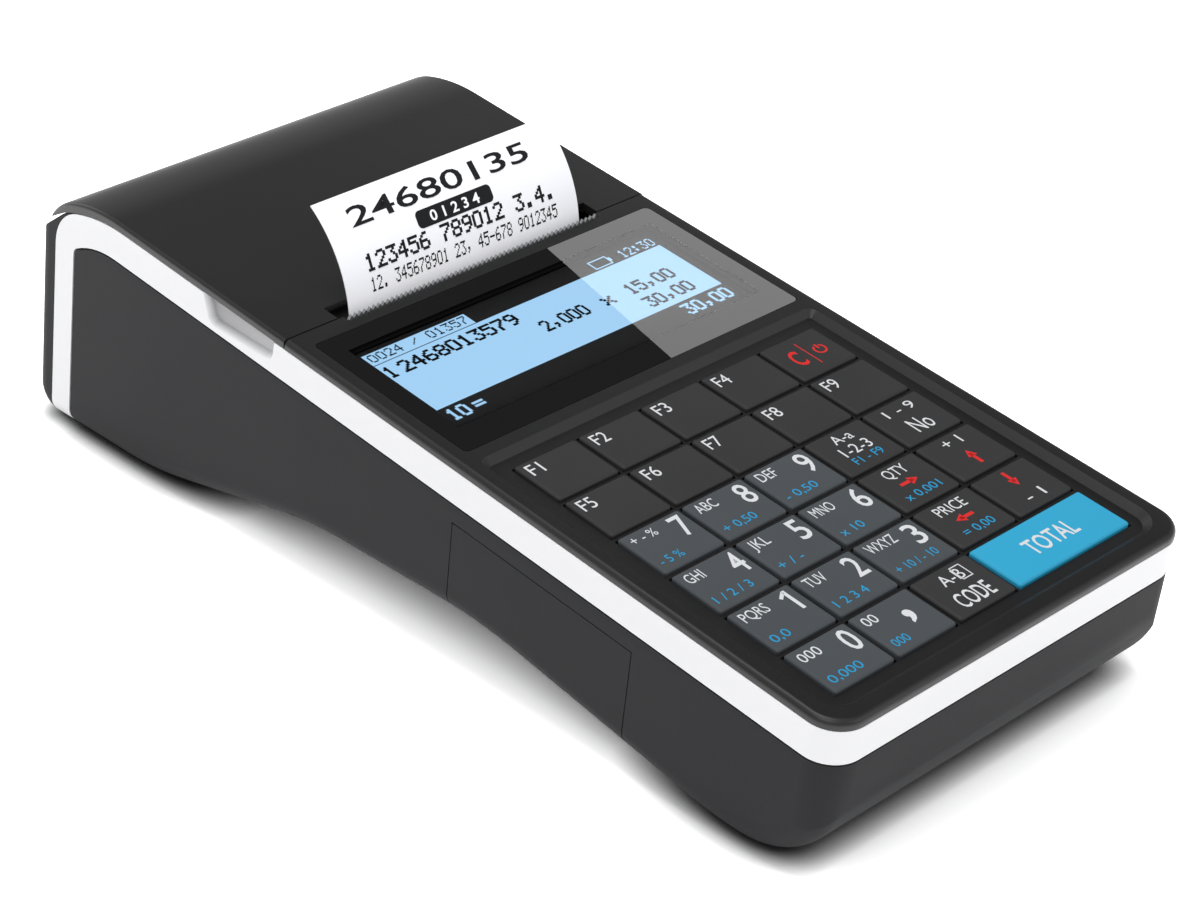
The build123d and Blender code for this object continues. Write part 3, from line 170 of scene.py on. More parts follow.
def moulded(name, colour, roughness, grain=900, depth=0.06, drift=0.08, shine=0.5, metal=0.0):
    """A material with fine grain in its height, and slight drift in colour and roughness."""
    made, tree = new_material(name)
    where = object_place(tree)
    fine = new_node(tree, "TexNoise", {"Vector": where, "Scale": grain, "Detail": 4})
    broad = new_node(tree, "TexNoise", {"Vector": where, "Scale": grain / DRIFT_COARSER, "Detail": 3})
    darker = (*(v * (1 - drift) for v in colour), 1)
    lighter = (*(min(1.0, v * (1 + drift)) for v in colour), 1)
    wear = {
        "Value": broad.outputs["Fac"],
        "To Min": roughness - ROUGHNESS_DRIFT,
        "To Max": roughness + ROUGHNESS_DRIFT,
    }
    height = {"Strength": depth, "Distance": GRAIN_HEIGHT * MM, "Height": fine.outputs["Fac"]}
    surface = {
        "Base Color": colour_mix(tree, broad.outputs["Fac"], darker, lighter),
        "Metallic": metal,
        "Roughness": new_node(tree, "MapRange", wear).outputs["Result"],
        "Specular IOR Level": shine,
        "Normal": new_node(tree, "Bump", height).outputs["Normal"],
    }
    feed(tree, tree.nodes["Principled BSDF"], surface)
    return made


def glowing(name, colour, strength):
    """A lit display surface: a faint dot pattern over an even glow."""
    unlit = tuple(v * UNLIT_SHARE for v in colour)
    made = moulded(name, unlit, 0.4, grain=2600, depth=0.02, shine=0.2)
    tree = made.node_tree
    dots = tree.nodes["Noise Texture"].outputs["Fac"]
    glow = colour_mix(tree, dots, (*(v * DOT_DIP for v in colour), 1), (*colour, 1))
    feed(tree, tree.nodes["Principled BSDF"], {"Emission Color": glow, "Emission Strength": strength})
    return made


def ticket_paper(name):
    """Thermal paper with a faint painted glow, so that it shows a little brighter than the light that falls
    on it.
    """
    made = moulded(name, tone(247, 247, 251), 0.8, grain=2600, depth=0.05, drift=0.01, shine=0.15)
    tree = made.node_tree
    # a faint painted glow that makes the paper brighter than its lighting alone
    painted_glow = {"Emission Color": (*tone(250, 250, 253), 1), "Emission Strength": 0.14}
    feed(tree, tree.nodes["Principled BSDF"], painted_glow)
    return made


WINDOW_PRINT = (*tone(30, 30, 31), 1)
# where the window is clear, on its face and on its back: middle along the deck, half width, half length
CLEAR_ZONES = ((110.2, 37.4, 14.6), (111.2, 36.4, 13.9))


def smoked_window(name):
    """A black-backed window, clear where the display looks through it."""
    made, tree = new_material(name)
    place = new_node(tree, "SeparateXYZ", {0: object_place(tree)}).outputs
    side = maths(tree, "ABSOLUTE", place["X"])
    forward = maths(tree, "MULTIPLY", place["Y"], math.cos(TILT))
    upward = maths(tree, "MULTIPLY", place["Z"], math.sin(TILT))
    run = maths(tree, "ADD", forward, upward)
    zones = []
    for along, half_width, half_length in CLEAR_ZONES:
        middle = deck_point(0, along, 0)
        middle_run = middle.y * math.cos(TILT) + middle.z * math.sin(TILT)
        reach = maths(tree, "ABSOLUTE", maths(tree, "SUBTRACT", run, middle_run))
        in_width = maths(tree, "LESS_THAN", side, half_width * MM)
        in_length = maths(tree, "LESS_THAN", reach, half_length * MM)
        zones.append(maths(tree, "MULTIPLY", in_width, in_length))
    on_face, on_back = zones

    clear = new_node(tree, "BsdfTransparent")
    mirror = new_node(tree, "BsdfGlossy", {"Roughness": 0.0})
    print_facts = {"Base Color": WINDOW_PRINT, "Roughness": 0.3, "Specular IOR Level": 0.0}
    face_print = feed(tree, tree.nodes["Principled BSDF"], print_facts)
    back_print = new_node(tree, "BsdfDiffuse", {"Color": WINDOW_PRINT})
    polish = new_node(tree, "Fresnel", {"IOR": 1.45}).outputs[0]
    face = shader_mix(tree, polish, shader_mix(tree, on_face, face_print, clear), mirror)
    back = shader_mix(tree, on_back, back_print, clear)
    from_behind = new_node(tree, "NewGeometry").outputs["Backfacing"]
    whole = shader_mix(tree, from_behind, face, back)
    feed(tree, tree.nodes["Material Output"], {"Surface": whole.outputs[0]})
    return made


BAND_FACE = 44.5  # distance of the band's face from the middle plane
SCOOP_FLOOR = 43.3  # and of the scoops' floor
SCOOP_HEIGHT = -5  # of the scoops against the deck
SCOOP_ENDS = (134, 161)  # along the deck
SCOOP_SHADE_ENDS = (136, 157)  # where the painted shade in the scoops grows from its least to its full share
# the least share of the painted shade, at the scoops' front end
LEAST_SCOOP_SHADE = 0.7


def scoop_y(along):
    """World Y of a place in the scoops, given along the deck."""
    return deck_point(0, along, SCOOP_HEIGHT).y


def band_white(name):
    """Gloss white, with grey painted shade on the floor of the two finger scoops, fullest towards their rear
    end.
    """
    made = moulded(name, tone(249, 249, 252), 0.35, depth=0.01, drift=0.01, shine=0.4)
    tree = made.node_tree
    shader = tree.nodes["Principled BSDF"]
    plain = shader.inputs["Base Color"].links[0].from_socket
    place = new_node(tree, "SeparateXYZ", {0: object_place(tree)}).outputs
    inward = {
        "Value": maths(tree, "ABSOLUTE", place["X"]),
        "From Min": BAND_FACE * MM,
        "From Max": SCOOP_FLOOR * MM,
    }
    rearward = {
        "Value": place["Y"],
        "From Min": scoop_y(SCOOP_SHADE_ENDS[0]),
        "From Max": scoop_y(SCOOP_SHADE_ENDS[1]),
        "To Min": LEAST_SCOOP_SHADE,
        "To Max": 1.0,
    }
    # painted shade of the scoops: none on the band's face, full on the scoops' floor, and growing towards
    # their rear end
    scoop_shade = maths(
        tree,
        "MULTIPLY",
        new_node(tree, "MapRange", inward).outputs["Result"],
        new_node(tree, "MapRange", rearward).outputs["Result"],
    )
    scoop_shade = maths(tree, "MULTIPLY", scoop_shade, maths(tree, "GREATER_THAN", place["Y"], scoop_y(SCOOP_ENDS[0])))
    scoop_shade = maths(tree, "MULTIPLY", scoop_shade, maths(tree, "LESS_THAN", place["Y"], scoop_y(SCOOP_ENDS[1])))
    # the painted shade turns the white towards grey in the scoops
    feed(tree, shader, {"Base Color": colour_mix(tree, scoop_shade, plain, (*tone(158, 158, 161), 1))})
    return made


finish = {
    "casing_dark": moulded("casing_dark_grey", tone(38, 38, 40), 0.62, depth=0.10, shine=0.15),
    "deck_black": moulded("deck_satin_black", tone(24, 24, 25), 0.4, depth=0.05, shine=0.45),
    "band_white": band_white("band_gloss_white"),
    "key_dark": moulded("key_dark_grey", tone(48, 48, 49), 0.55, depth=0.06, shine=0.3),
    "key_grey": moulded("key_blue_grey", tone(70, 75, 79), 0.55, depth=0.06, shine=0.3),
    "key_blue": moulded("key_light_blue", tone(41, 163, 204), 0.5, depth=0.03, drift=0.02, shine=0.3),
    "window_tint": smoked_window("window_smoked"),
    "display_panel": moulded("display_dark", tone(30, 30, 31), 0.5, depth=0.02, shine=0.1),
    "mat_silicone": moulded("mat_silicone", tone(120, 122, 124), 0.6),
    "board_green": moulded("board_solder_mask", tone(30, 92, 52), 0.35, shine=0.5),
    "battery_wrap": moulded("battery_shrink_wrap", tone(38, 66, 128), 0.3, depth=0.04),
    "liner_black": moulded("liner_black", tone(34, 34, 35), 0.6, depth=0.08),
    "bucket_grey": moulded("bucket_grey", tone(58, 58, 60), 0.6, depth=0.08),
    "platen_rubber": moulded("platen_rubber", tone(32, 32, 33), 0.75, grain=1500, depth=0.2),
    "foot_rubber": moulded("foot_rubber", tone(28, 28, 29), 0.85, grain=1200, depth=0.2),
    "gear_white": moulded("gear_acetal", tone(226, 224, 214), 0.4, depth=0.02, drift=0.03),
    "bronze": moulded("bush_bronze", tone(176, 132, 74), 0.38, grain=1400, depth=0.12, metal=1.0),
    "steel": moulded("bright_steel", tone(178, 179, 182), 0.3, grain=1600, depth=0.08, metal=1.0),
    "heat_sink": moulded("heat_sink_alloy", tone(182, 184, 188), 0.42, grain=1600, depth=0.1, metal=1.0),
    "motor_can": moulded("motor_can", tone(150, 151, 154), 0.34, grain=1600, depth=0.08, metal=1.0),
    "paper": ticket_paper("thermal_paper"),
    "core_board": moulded("core_board", tone(168, 142, 104), 0.8, grain=1600, depth=0.15),
    "socket_black": moulded("socket_black", tone(24, 24, 25), 0.45),
}
ink_white = moulded("legend_pale", tone(214, 216, 219), 0.55, depth=0.02, drift=0.03, shine=0.2)
ink_red = moulded("legend_red", tone(214, 40, 38), 0.55, depth=0.02, drift=0.03, shine=0.2)
ink_blue = moulded("legend_blue", tone(34, 150, 200), 0.55, depth=0.02, drift=0.03, shine=0.2)
ink_print = moulded("ticket_print", tone(34, 34, 36), 0.7, depth=0.02, drift=0.05, shine=0.1)
ink_cells = moulded("display_cells", tone(10, 12, 16), 0.5, depth=0.01, drift=0.05, shine=0.05)
glow_blue = glowing("display_glow", tone(163, 209, 245), 1.06)


# ---------------------------------------------------------------- the CAD parts
WELD_REACH = 0.002
KEY_SOFTENING = 0.18
KEY_CORNER = math.radians(30)  # sharper than this, a key's edge is softened
FLAT_ENOUGH = math.radians(1)
CREASE = math.radians(28)  # sharper than this, any other part's edge stays crisp


def smoothed(piece):
    """Shade a part smooth and weld its loose triangles."""
    only(piece)
    bpy.ops.object.shade_smooth()
    weld = piece.modifiers.new("weld", "WELD")
    weld.merge_threshold = WELD_REACH * MM


def softened(key):
    """Make a key's flat faces whole and round its edges a little."""
    flat = key.modifiers.new("flat", "DECIMATE")
    flat.decimate_type = "DISSOLVE"
    flat.angle_limit = FLAT_ENOUGH
    soft = key.modifiers.new("soft", "BEVEL")
    soft.width = KEY_SOFTENING * MM
    soft.segments = 2
    soft.limit_method = "ANGLE"
    soft.angle_limit = KEY_CORNER
    soft.harden_normals = True


def creased(piece):
    """Keep a smooth part's sharp edges crisp."""
    crease = piece.modifiers.new("crease", "EDGE_SPLIT")
    crease.split_angle = CREASE


slot_of = {row["node"]: row["material_slot"] for row in frame["record"]["subparts"]}
for name, piece in frame["nodes"].items():
    piece.data.materials.clear()
    piece.data.materials.append(finish[slot_of[name]])
    smoothed(piece)
    if name.startswith("key_"):
        softened(piece)
    else:
        creased(piece)
frame["nodes"]["paper_strip"].visible_glossy = False


# ---------------------------------------------------------------- lettering and signs
LETTER_DEPTH = 0.01  # half the thickness of raw lettering, in its own units


def lettering(words, height, width, weight=0.0):
    """Raised lettering, its lower left corner at the origin, of a height and width in millimetres."""
    bpy.ops.object.select_all(action="DESELECT")
    bpy.ops.object.text_add(location=(0, 0, 0))
    sign = bpy.context.object
    sign.data.body = words
    sign.data.offset = weight
    sign.data.extrude = LETTER_DEPTH
    sign.data.resolution_u = 3
    bpy.ops.object.convert(target="MESH")
    sign = bpy.context.object
    corners = [corner.co for corner in sign.data.vertices]
    left = min(c.x for c in corners)
    right = max(c.x for c in corners)
    bottom = min(c.y for c in corners) if words == "," else 0.0
    top = max(c.y for c in corners)
    settle(sign, (0, 0, 0), (-left, -bottom, 0))
    across, upward = width / (right - left), height / (top - bottom)
    sign.scale = (across * MM, upward * MM, SIGN_DEPTH / (2 * LETTER_DEPTH) * MM)
    bpy.ops.object.transform_apply(location=True, rotation=True, scale=True)
    return sign


def block(width, length, middle=(0, 0)):
    """A thin sharp block, centred on middle, in millimetres."""
    bpy.ops.object.select_all(action="DESELECT")
    bpy.ops.mesh.primitive_cube_add(size=1, location=(middle[0] * MM, middle[1] * MM, 0))
    made = bpy.context.object
    made.scale = (width * MM, length * MM, SIGN_DEPTH * MM)
    bpy.ops.object.transform_apply(location=True, rotation=True, scale=True)
    return made


def eased():
    """Chamfer all the edges of the mesh that is in edit mode, and leave that mode."""
    bpy.ops.mesh.select_all(action="SELECT")
    bpy.ops.mesh.bevel(offset=SIGN_EASE * MM, segments=1)
    bpy.ops.object.mode_set(mode="OBJECT")


def strip(width, length, middle=(0, 0)):
    """A thin block with eased edges, centred on middle, in millimetres."""
    made = block(width, length, middle)
    bpy.ops.object.mode_set(mode="EDIT")
    eased()
    return made


def strips(places):
    """Strips, each given by its middle across and along, its width and its length."""
    return [strip(width, length, (x, along)) for x, along, width, length in places]


def rounded_block(width, length, radius):
    """A thin block with rounded corners, centred on the origin, in millimetres."""
    made = block(width, length)
    bpy.ops.object.mode_set(mode="EDIT")
    bpy.ops.mesh.select_mode(type="EDGE")
    bpy.ops.mesh.select_all(action="DESELECT")
    bpy.ops.object.mode_set(mode="OBJECT")
    for edge in made.data.edges:
        start, end = (made.data.vertices[number].co for number in edge.vertices)
        edge.select = abs(start.z - end.z) > SIGN_DEPTH / 2 * MM
    bpy.ops.object.mode_set(mode="EDIT")
    bpy.ops.mesh.bevel(offset=radius * MM, segments=5)
    bpy.ops.mesh.select_mode(type="VERT")
    bpy.ops.object.mode_set(mode="OBJECT")
    return made


# the seven rows of cells in each figure, top first, each row's five cells as one binary number
CELLS = {
    "0": (14, 17, 17, 17, 17, 17, 14),
    "1": (4, 12, 4, 4, 4, 4, 14),
    "2": (14, 17, 1, 2, 4, 8, 31),
    "3": (31, 2, 4, 2, 1, 17, 14),
    "4": (2, 6, 10, 18, 31, 2, 2),
    "5": (31, 16, 30, 1, 1, 17, 14),
    "6": (6, 8, 16, 30, 17, 17, 14),
    "7": (31, 1, 2, 4, 8, 8, 8),
    "8": (14, 17, 17, 14, 17, 17, 14),
    "9": (14, 17, 17, 15, 1, 2, 12),
    ",": (0, 0, 0, 0, 12, 4, 8),
    ".": (0, 0, 0, 0, 0, 12, 12),
    ":": (0, 12, 12, 0, 12, 12, 0),
    "/": (0, 1, 2, 4, 8, 16, 0),
    "-": (0, 0, 0, 31, 0, 0, 0),
    "=": (0, 0, 31, 0, 31, 0, 0),
    "x": (0, 0, 17, 10, 4, 10, 17),
    " ": (0, 0, 0, 0, 0, 0, 0),
}
CELL_ROWS = 7
CELL_COLUMNS = 5


def cell_lettering(words, height, width, heavy=0.0):
    """Figures built of square cells, as displays and receipt printers draw them, from the origin."""
    step = CELL_COLUMNS + 1
    across, upward = width / (step * len(words) - 1), height / CELL_ROWS
    bpy.ops.object.select_all(action="DESELECT")
    for place, sign in enumerate(words):
        for row, marks in enumerate(CELLS[sign]):
            for run in re.finditer("1+", format(marks, "05b")):
                middle = (place * step + (run.start() + run.end()) / 2) * across
                cells_long = run.end() - run.start() + heavy
                bpy.ops.mesh.primitive_cube_add(
                    size=1,
                    location=(middle * MM, (height - (row + 0.5) * upward) * MM, 0),
                    scale=(cells_long * across * MM, (1.0 + heavy / 2) * upward * MM, SIGN_DEPTH * MM),
                )
                if bpy.context.object.mode == "OBJECT":
                    bpy.ops.object.mode_set(mode="EDIT")
    eased()
    bpy.ops.object.transform_apply(location=True, rotation=True, scale=True)
    return bpy.context.object


ARROW_SHAFT_WIDTH = 0.75
ARROW_HEAD_WIDTH = 2.5


def arrow(length, turn):
    """A barbed arrow of the given length, centred on the origin and turned by an angle in degrees."""
    shaft_length, head_circle = 0.75 * length, 0.62 * length
    shaft = strip(shaft_length, ARROW_SHAFT_WIDTH, ((shaft_length - length) / 2, 0))
    bpy.ops.object.select_all(action="DESELECT")
    bpy.ops.mesh.primitive_cylinder_add(
        vertices=3, radius=0.5, depth=1, location=(0, 0, 0), rotation=(0, 0, math.radians(-90))
    )
    head = bpy.context.object
    bpy.ops.object.transform_apply(location=True, rotation=True, scale=True)
    head.scale = (head_circle * MM, ARROW_HEAD_WIDTH * MM, SIGN_DEPTH * MM)
    head.location = ((length - head_circle) / 2 * MM, 0, 0)
    bpy.ops.object.transform_apply(location=True, rotation=True, scale=True)
    return settle(joined([shaft, head], "arrow"), (0, 0, math.radians(turn)), (0, 0, 0))


SWITCH_LINE = 0.4
SWITCH_GAP = 0.9
SWITCH_BAR = 1.4
RING_FLATTENING = 0.02


def switch_sign(radius):
    """The round on and off sign: an open ring with a bar in its gap."""
    bpy.ops.object.select_all(action="DESELECT")
    bpy.ops.mesh.primitive_torus_add(
        major_segments=32,
        minor_segments=6,
        major_radius=radius * MM,
        minor_radius=SWITCH_LINE / 2 * MM,
        location=(0, 0, 0),
    )
    ring = bpy.context.object
    ring.scale = (1, 1, RING_FLATTENING)
    bpy.ops.object.transform_apply(location=True, rotation=True, scale=True)
    bpy.ops.object.mode_set(mode="EDIT")
    bpy.ops.mesh.select_all(action="DESELECT")
    bpy.ops.object.mode_set(mode="OBJECT")
    for corner in ring.data.vertices:
        corner.select = corner.co.y > 0 and abs(corner.co.x) < SWITCH_GAP / 2 * MM
    bpy.ops.object.mode_set(mode="EDIT")
    bpy.ops.mesh.delete(type="VERT")
    bpy.ops.mesh.select_all(action="SELECT")
    bpy.ops.mesh.fill_holes(sides=8)
    bpy.ops.object.mode_set(mode="OBJECT")
    bar = strip(SWITCH_LINE, SWITCH_BAR, (0, radius * 0.75))
    return joined([ring, bar], "switch_sign")


# ---------------------------------------------------------------- key legends
# the keys' rows, from the display forwards; the total key is two columns wide
KEYS = (
    ("f1", "f2", "f3", "f4", "clear"),
    ("f5", "f6", "f7", "f8", "f9"),
    ("7", "8", "9", "shift", "id"),
    ("4", "5", "6", "quantity", "up"),
    ("1", "2", "3", "price", "down"),
    ("0", "comma", "code", "total"),
)
key_middle = {}
for row, names in enumerate(KEYS):
    for column, name in enumerate(names):
        half_more = 0.5 if name == "total" else 0.0
        key_middle[name] = ((column + half_more - 2) * COLUMN_PITCH, KEYPAD_BACK - (row + 0.5) * ROW_PITCH)

KEY_EDGE = -5.8  # left edge of the signs that stand at a key's left side
UPPER_BASE = 2.2  # baseline of the upper row of signs
# a white legend is its words, its left edge and baseline from the key's middle, its height and width,
# and where it is bolder, by how much
white_signs = {
    "7": [("+ - %", KEY_EDGE, 2.6, 2.0, 5.6)],
    "0": [("000", KEY_EDGE, UPPER_BASE, 2.2, 4.6)],
    "1": [("PQRS", KEY_EDGE, UPPER_BASE, 2.4, 5.75)],
    "comma": [("00", KEY_EDGE, UPPER_BASE, 2.2, 3.0), (",", 1.2, -1.6, 3.4, 1.9, 0.02)],
    "shift": [("A-a", -2.35, 2.15, 2.4, 4.7), ("1-2-3", -3.45, -1.5, 2.6, 6.9)],
    "id": [("1 - 9", -3.6, 2.1, 2.2, 7.2), ("No", -2.2, -3.9, 3.9, 4.6)],
    "quantity": [("QTY", -2.7, UPPER_BASE, 2.5, 5.4)],
    "price": [("PRICE", -3.5, 2.1, 2.5, 7.0)],
    "up": [("+ 1", -2.2, 2.3, 2.3, 4.4)],
    "down": [("- 1", -2.2, -4.1, 2.3, 4.4)],
    "code": [("A-B", -2.6, 1.5, 2.6, 5.4), ("CODE", -4.1, -4.3, 3.7, 8.0, 0.008)],
    "total": [("TOTAL", -6.0, -1.95, 3.9, 12.0, 0.01)],
}
for name, words, wide in (
    ("8", "ABC", 4.5),
    ("9", "DEF", 4.1),
    ("4", "GHI", 3.7),
    ("5", "JKL", 4.0),
    ("6", "MNO", 5.0),
    ("2", "TUV", 4.4),
    ("3", "WXYZ", 6.6),
):
    white_signs[name] = [(words, KEY_EDGE, UPPER_BASE, 2.4, wide)]
for number in range(1, 10):
    white_signs["f%d" % number] = [("F%d" % number, -5.9, 1.65, 2.95, 2.9 if number == 1 else 3.2)]
for name in "023456789":
    white_signs[name].append((name, 3.05, -0.65, 5.3, 2.75, 0.008))

# the large figure 1 is drawn with a stem and a slanted flag: middle across and along, width, length
ONE_STEM = (4.75, 2.0, 0.72, 5.3)
ONE_FLAG = (3.92, 3.78, 1.9, 0.66)
ONE_FLAG_TURN = math.radians(38)
# the four sides of the box round the B on the code key, given in the same way
CODE_BOX = ((1.55, 2.85, 0.22, 3.4), (3.85, 2.85, 0.22, 3.4), (2.7, 1.2, 2.5, 0.22), (2.7, 4.5, 2.5, 0.22))

# a blue legend is its words and width; three stand in the middle of their key, the others at its left side
blue_signs = {
    "7": ("- 5 %", 5.1),
    "8": ("+ 0,50", 7.4),
    "9": ("- 0,50", 7.4),
    "4": ("1 / 2 / 3", 8.4),
    "5": ("+ / -", 5.6),
    "6": ("x 10", 5.4),
    "1": ("0,0", 4.0),
    "2": ("1 2 3 4", 7.6),
    "3": ("+ 10 / - 10", 9.8),
    "0": ("0,000", 7.4),
    "comma": ("000", 3.6),
    "shift": ("F1 - F9", 7.0),
    "quantity": ("x 0,001", 8.6),
    "price": ("= 0,00", 7.4),
}
MIDDLE_BLUE = ("shift", "quantity", "price")
BLUE_EDGE = -5.75
BLUE_BASE = -4.1
BLUE_HEIGHT = 1.9


def on_key(pieces, name, title, ink):
    """Join a key's signs into one piece, lay it on the key and let it ride there."""
    x, along = key_middle[name]
    sign = on_deck(joined(pieces, title + name), x, along, KEY_TOP + PRINT_LIFT)
    return dress(sign, ink, "key_" + name)


def white_pieces(name):
    """The white signs of a key, flat and not yet laid down."""
    pieces = []
    for words, left, base, tall, wide, *bolder in white_signs.get(name, []):
        pieces.append(moved(lettering(words, tall, wide, *bolder), left, base))
    if name == "1":
        pieces += strips([ONE_STEM])
        x, along, width, length = ONE_FLAG
        pieces.append(settle(strip(width, length), (0, 0, ONE_FLAG_TURN), (x * MM, along * MM, 0)))
    if name == "code":
        pieces += strips(CODE_BOX)
    return pieces


for name in key_middle:
    pieces = white_pieces(name)
    if pieces:
        on_key(pieces, name, "legend_", ink_white)
    if name in blue_signs:
        words, wide = blue_signs[name]
        left = -wide / 2 if name in MIDDLE_BLUE else BLUE_EDGE
        sign = moved(lettering(words, BLUE_HEIGHT, wide), left, BLUE_BASE)
        on_key([sign], name, "second_legend_", ink_blue)

clear_letter = moved(lettering("C", 4.5, 2.5, 0.02), -4.2, -2.3)
clear_divider = strip(0.22, 7.2)
clear_switch = moved(switch_sign(1.2), 2.9, -0.2)
red_signs = {
    "clear": [clear_letter, clear_divider, clear_switch],
    "quantity": [arrow(4.3, 0)],
    "price": [arrow(4.3, 180)],
    "up": [moved(arrow(4.2, 90), 0, -1.8)],
    "down": [moved(arrow(4.2, -90), 0, 2.4)],
}
for name, pieces in red_signs.items():
    on_key(pieces, name, "red_sign_", ink_red)

# ---------------------------------------------------------------- display
LEFT, RIGHT = -35.3, 35.5  # the display's sides
LIT_FRONT, LIT_BACK = 103.3, 120.0  # the lit field along the deck
TITLE_FRONT, TITLE_BACK = 120.2, 123.7  # the lit title behind it
TITLE_WIDTH = 24.2
# baselines of the rows of figures, along the deck
TITLE_BASE, CLOCK_BASE = 120.9, 120.5
NAME_BASE, PRICE_BASE, SUM_BASE = 115.3, 110.2, 104.9
KEYED_BASE, TOTAL_BASE = 99.1, 99.0
# the battery's outline and its tip: middle across and along, width, length
BATTERY_SIGN = (
    (21.7, 123.1, 4.2, 0.3),
    (21.7, 120.6, 4.2, 0.3),
    (19.6, 121.85, 0.3, 2.8),
    (23.8, 121.85, 0.3, 2.8),
    (24.2, 121.85, 0.5, 1.2),
)


def panel(x_from, x_to, along_from, along_to):
    """A flat area of the display in deck millimetres."""
    return strip(x_to - x_from, along_to - along_from, ((x_from + x_to) / 2, (along_from + along_to) / 2))


def row_of_cells(words, height, width, x, along, heavy=0.5):
    """A row of figures on the display, its lower left corner in deck millimetres."""
    return moved(cell_lettering(words, height, width, heavy), x, along)


lit = [
    panel(LEFT, RIGHT, LIT_FRONT, LIT_BACK),
    panel(LEFT, LEFT + TITLE_WIDTH, TITLE_FRONT, TITLE_BACK),
    row_of_cells("12:30", 2.6, 8.6, RIGHT - 8.8, CLOCK_BASE, heavy=0.0),
    row_of_cells("10", 3.3, 4.4, LEFT + 0.6, KEYED_BASE),
    row_of_cells("=", 3.3, 2.2, LEFT + 6.4, KEYED_BASE),
    row_of_cells("30,00", 3.4, 11.6, RIGHT - 12.3, TOTAL_BASE),
] + strips(BATTERY_SIGN)
dark = [
    row_of_cells("0024 / 01357", 2.4, 23.0, LEFT + 0.6, TITLE_BASE, heavy=0.0),
    row_of_cells("1", 3.5, 2.0, LEFT + 0.2, NAME_BASE),
    row_of_cells("2468013579", 3.5, 27.6, LEFT + 3.6, NAME_BASE),
    row_of_cells("2,000", 3.4, 11.0, LEFT + 33.0, PRICE_BASE),
    row_of_cells("x", 3.4, 2.4, LEFT + 47.9, PRICE_BASE),
    row_of_cells("15,00", 3.4, 11.6, LEFT + 54.3, PRICE_BASE),
    row_of_cells("30,00", 3.4, 11.6, LEFT + 54.3, SUM_BASE),
]
for title, pieces, lift, material, slot in (
    ("display_lit_cells", lit, 0.03, glow_blue, "display_light"),
    ("display_dark_cells", dark, 0.05, ink_cells, "display_ink"),
):
    dress(on_deck(joined(pieces, title), 0, 0, DISPLAY_TOP + lift), material, "casing")

# ---------------------------------------------------------------- printed ticket
TICKET_START = (134.9, -1.4)  # where the paper starts, along and above the deck
TICKET_LEAN = math.radians(78)
TICKET_STRAIGHT = 1.1
TICKET_RADIUS = 24.0
PRINT_OFF_PAPER = 0.02
BLOCK_DISTANCE = 11.9  # how far up the paper the black block lies


def on_ticket(piece, distance, up=PRINT_OFF_PAPER):
    """Lay a row of print on the ticket's face, its middle a distance up from where the paper starts."""
    bend = Vector(TICKET_START) + TICKET_STRAIGHT * Vector((math.cos(TICKET_LEAN), math.sin(TICKET_LEAN)))
    centre = bend + TICKET_RADIUS * Vector((math.sin(TICKET_LEAN), -math.cos(TICKET_LEAN)))
    heading = TICKET_LEAN - max(0, distance - TICKET_STRAIGHT) / TICKET_RADIUS
    outward = Vector((-math.sin(heading), math.cos(heading)))
    spot = centre + (TICKET_RADIUS + up) * outward
    return settle(piece, (TILT + heading, 0, 0), deck_point(0, spot.x, spot.y))


rows = [
    on_ticket(moved(cell_lettering("12. 345678901 23, 45-678 9012345", 2.7, 46.0), -22.8, -1.35), 4.0),
    on_ticket(moved(cell_lettering("123456 789012 3.4.", 3.2, 46.4, 0.4), -23.0, -1.6), 8.1),
    on_ticket(moved(lettering("24680135", 3.8, 43.4, 0.01), -22.8, -1.9), 16.9),
    on_ticket(rounded_block(18.4, 3.4, 1.0), BLOCK_DISTANCE),
]
ticket_print = dress(joined(rows, "ticket_print"), ink_print, "lid")
block_figures = moved(lettering("0 1 2 3 4", 2.0, 12.0, 0.02), -6.0, -1.0)
block_row = on_ticket(block_figures, BLOCK_DISTANCE, 2 * PRINT_OFF_PAPER)
block_sign = dress(joined([block_row], "ticket_block_sign"), finish["paper"], "lid")
for piece in (ticket_print, block_sign):
    piece.visible_glossy = False

# ---------------------------------------------------------------- floor and backdrop
WHITE = (1, 1, 1, 1)
FLOOR_WHITE = (0.9, 0.9, 0.9, 1)
SHADOW_REACH = 5.5  # how far from the register the floor's contact shadow is deepened
SKY_STRENGTH = 0.53


def white_floor():
    """A material that lights the register as a pale floor, and shows white with a deepened contact shadow."""
    made, tree = new_material("floor_white")
    base_facts = {"Base Color": FLOOR_WHITE, "Roughness": 0.9, "Specular IOR Level": 0.0}
    base = feed(tree, tree.nodes["Principled BSDF"], base_facts)
    near = new_node(tree, "AmbientOcclusion", {"Distance": SHADOW_REACH * MM}, samples=16)
    deepening = {
        "Value": near.outputs["AO"],
        "From Min": 0.25,
        "From Max": 1.0,
        "To Min": 0.05,
        "To Max": 1.9,
    }
    shown = new_node(tree, "BsdfDiffuse", {"Color": new_node(tree, "MapRange", deepening).outputs["Result"]})
    path = new_node(tree, "LightPath").outputs
    seen_later = maths(tree, "MAXIMUM", path["Is Glossy Ray"], path["Is Transmission Ray"])
    seen = maths(tree, "MAXIMUM", path["Is Camera Ray"], seen_later)
    choice = shader_mix(tree, seen, base, shown)
    feed(tree, tree.nodes["Material Output"], {"Surface": choice.outputs[0]})
    return made


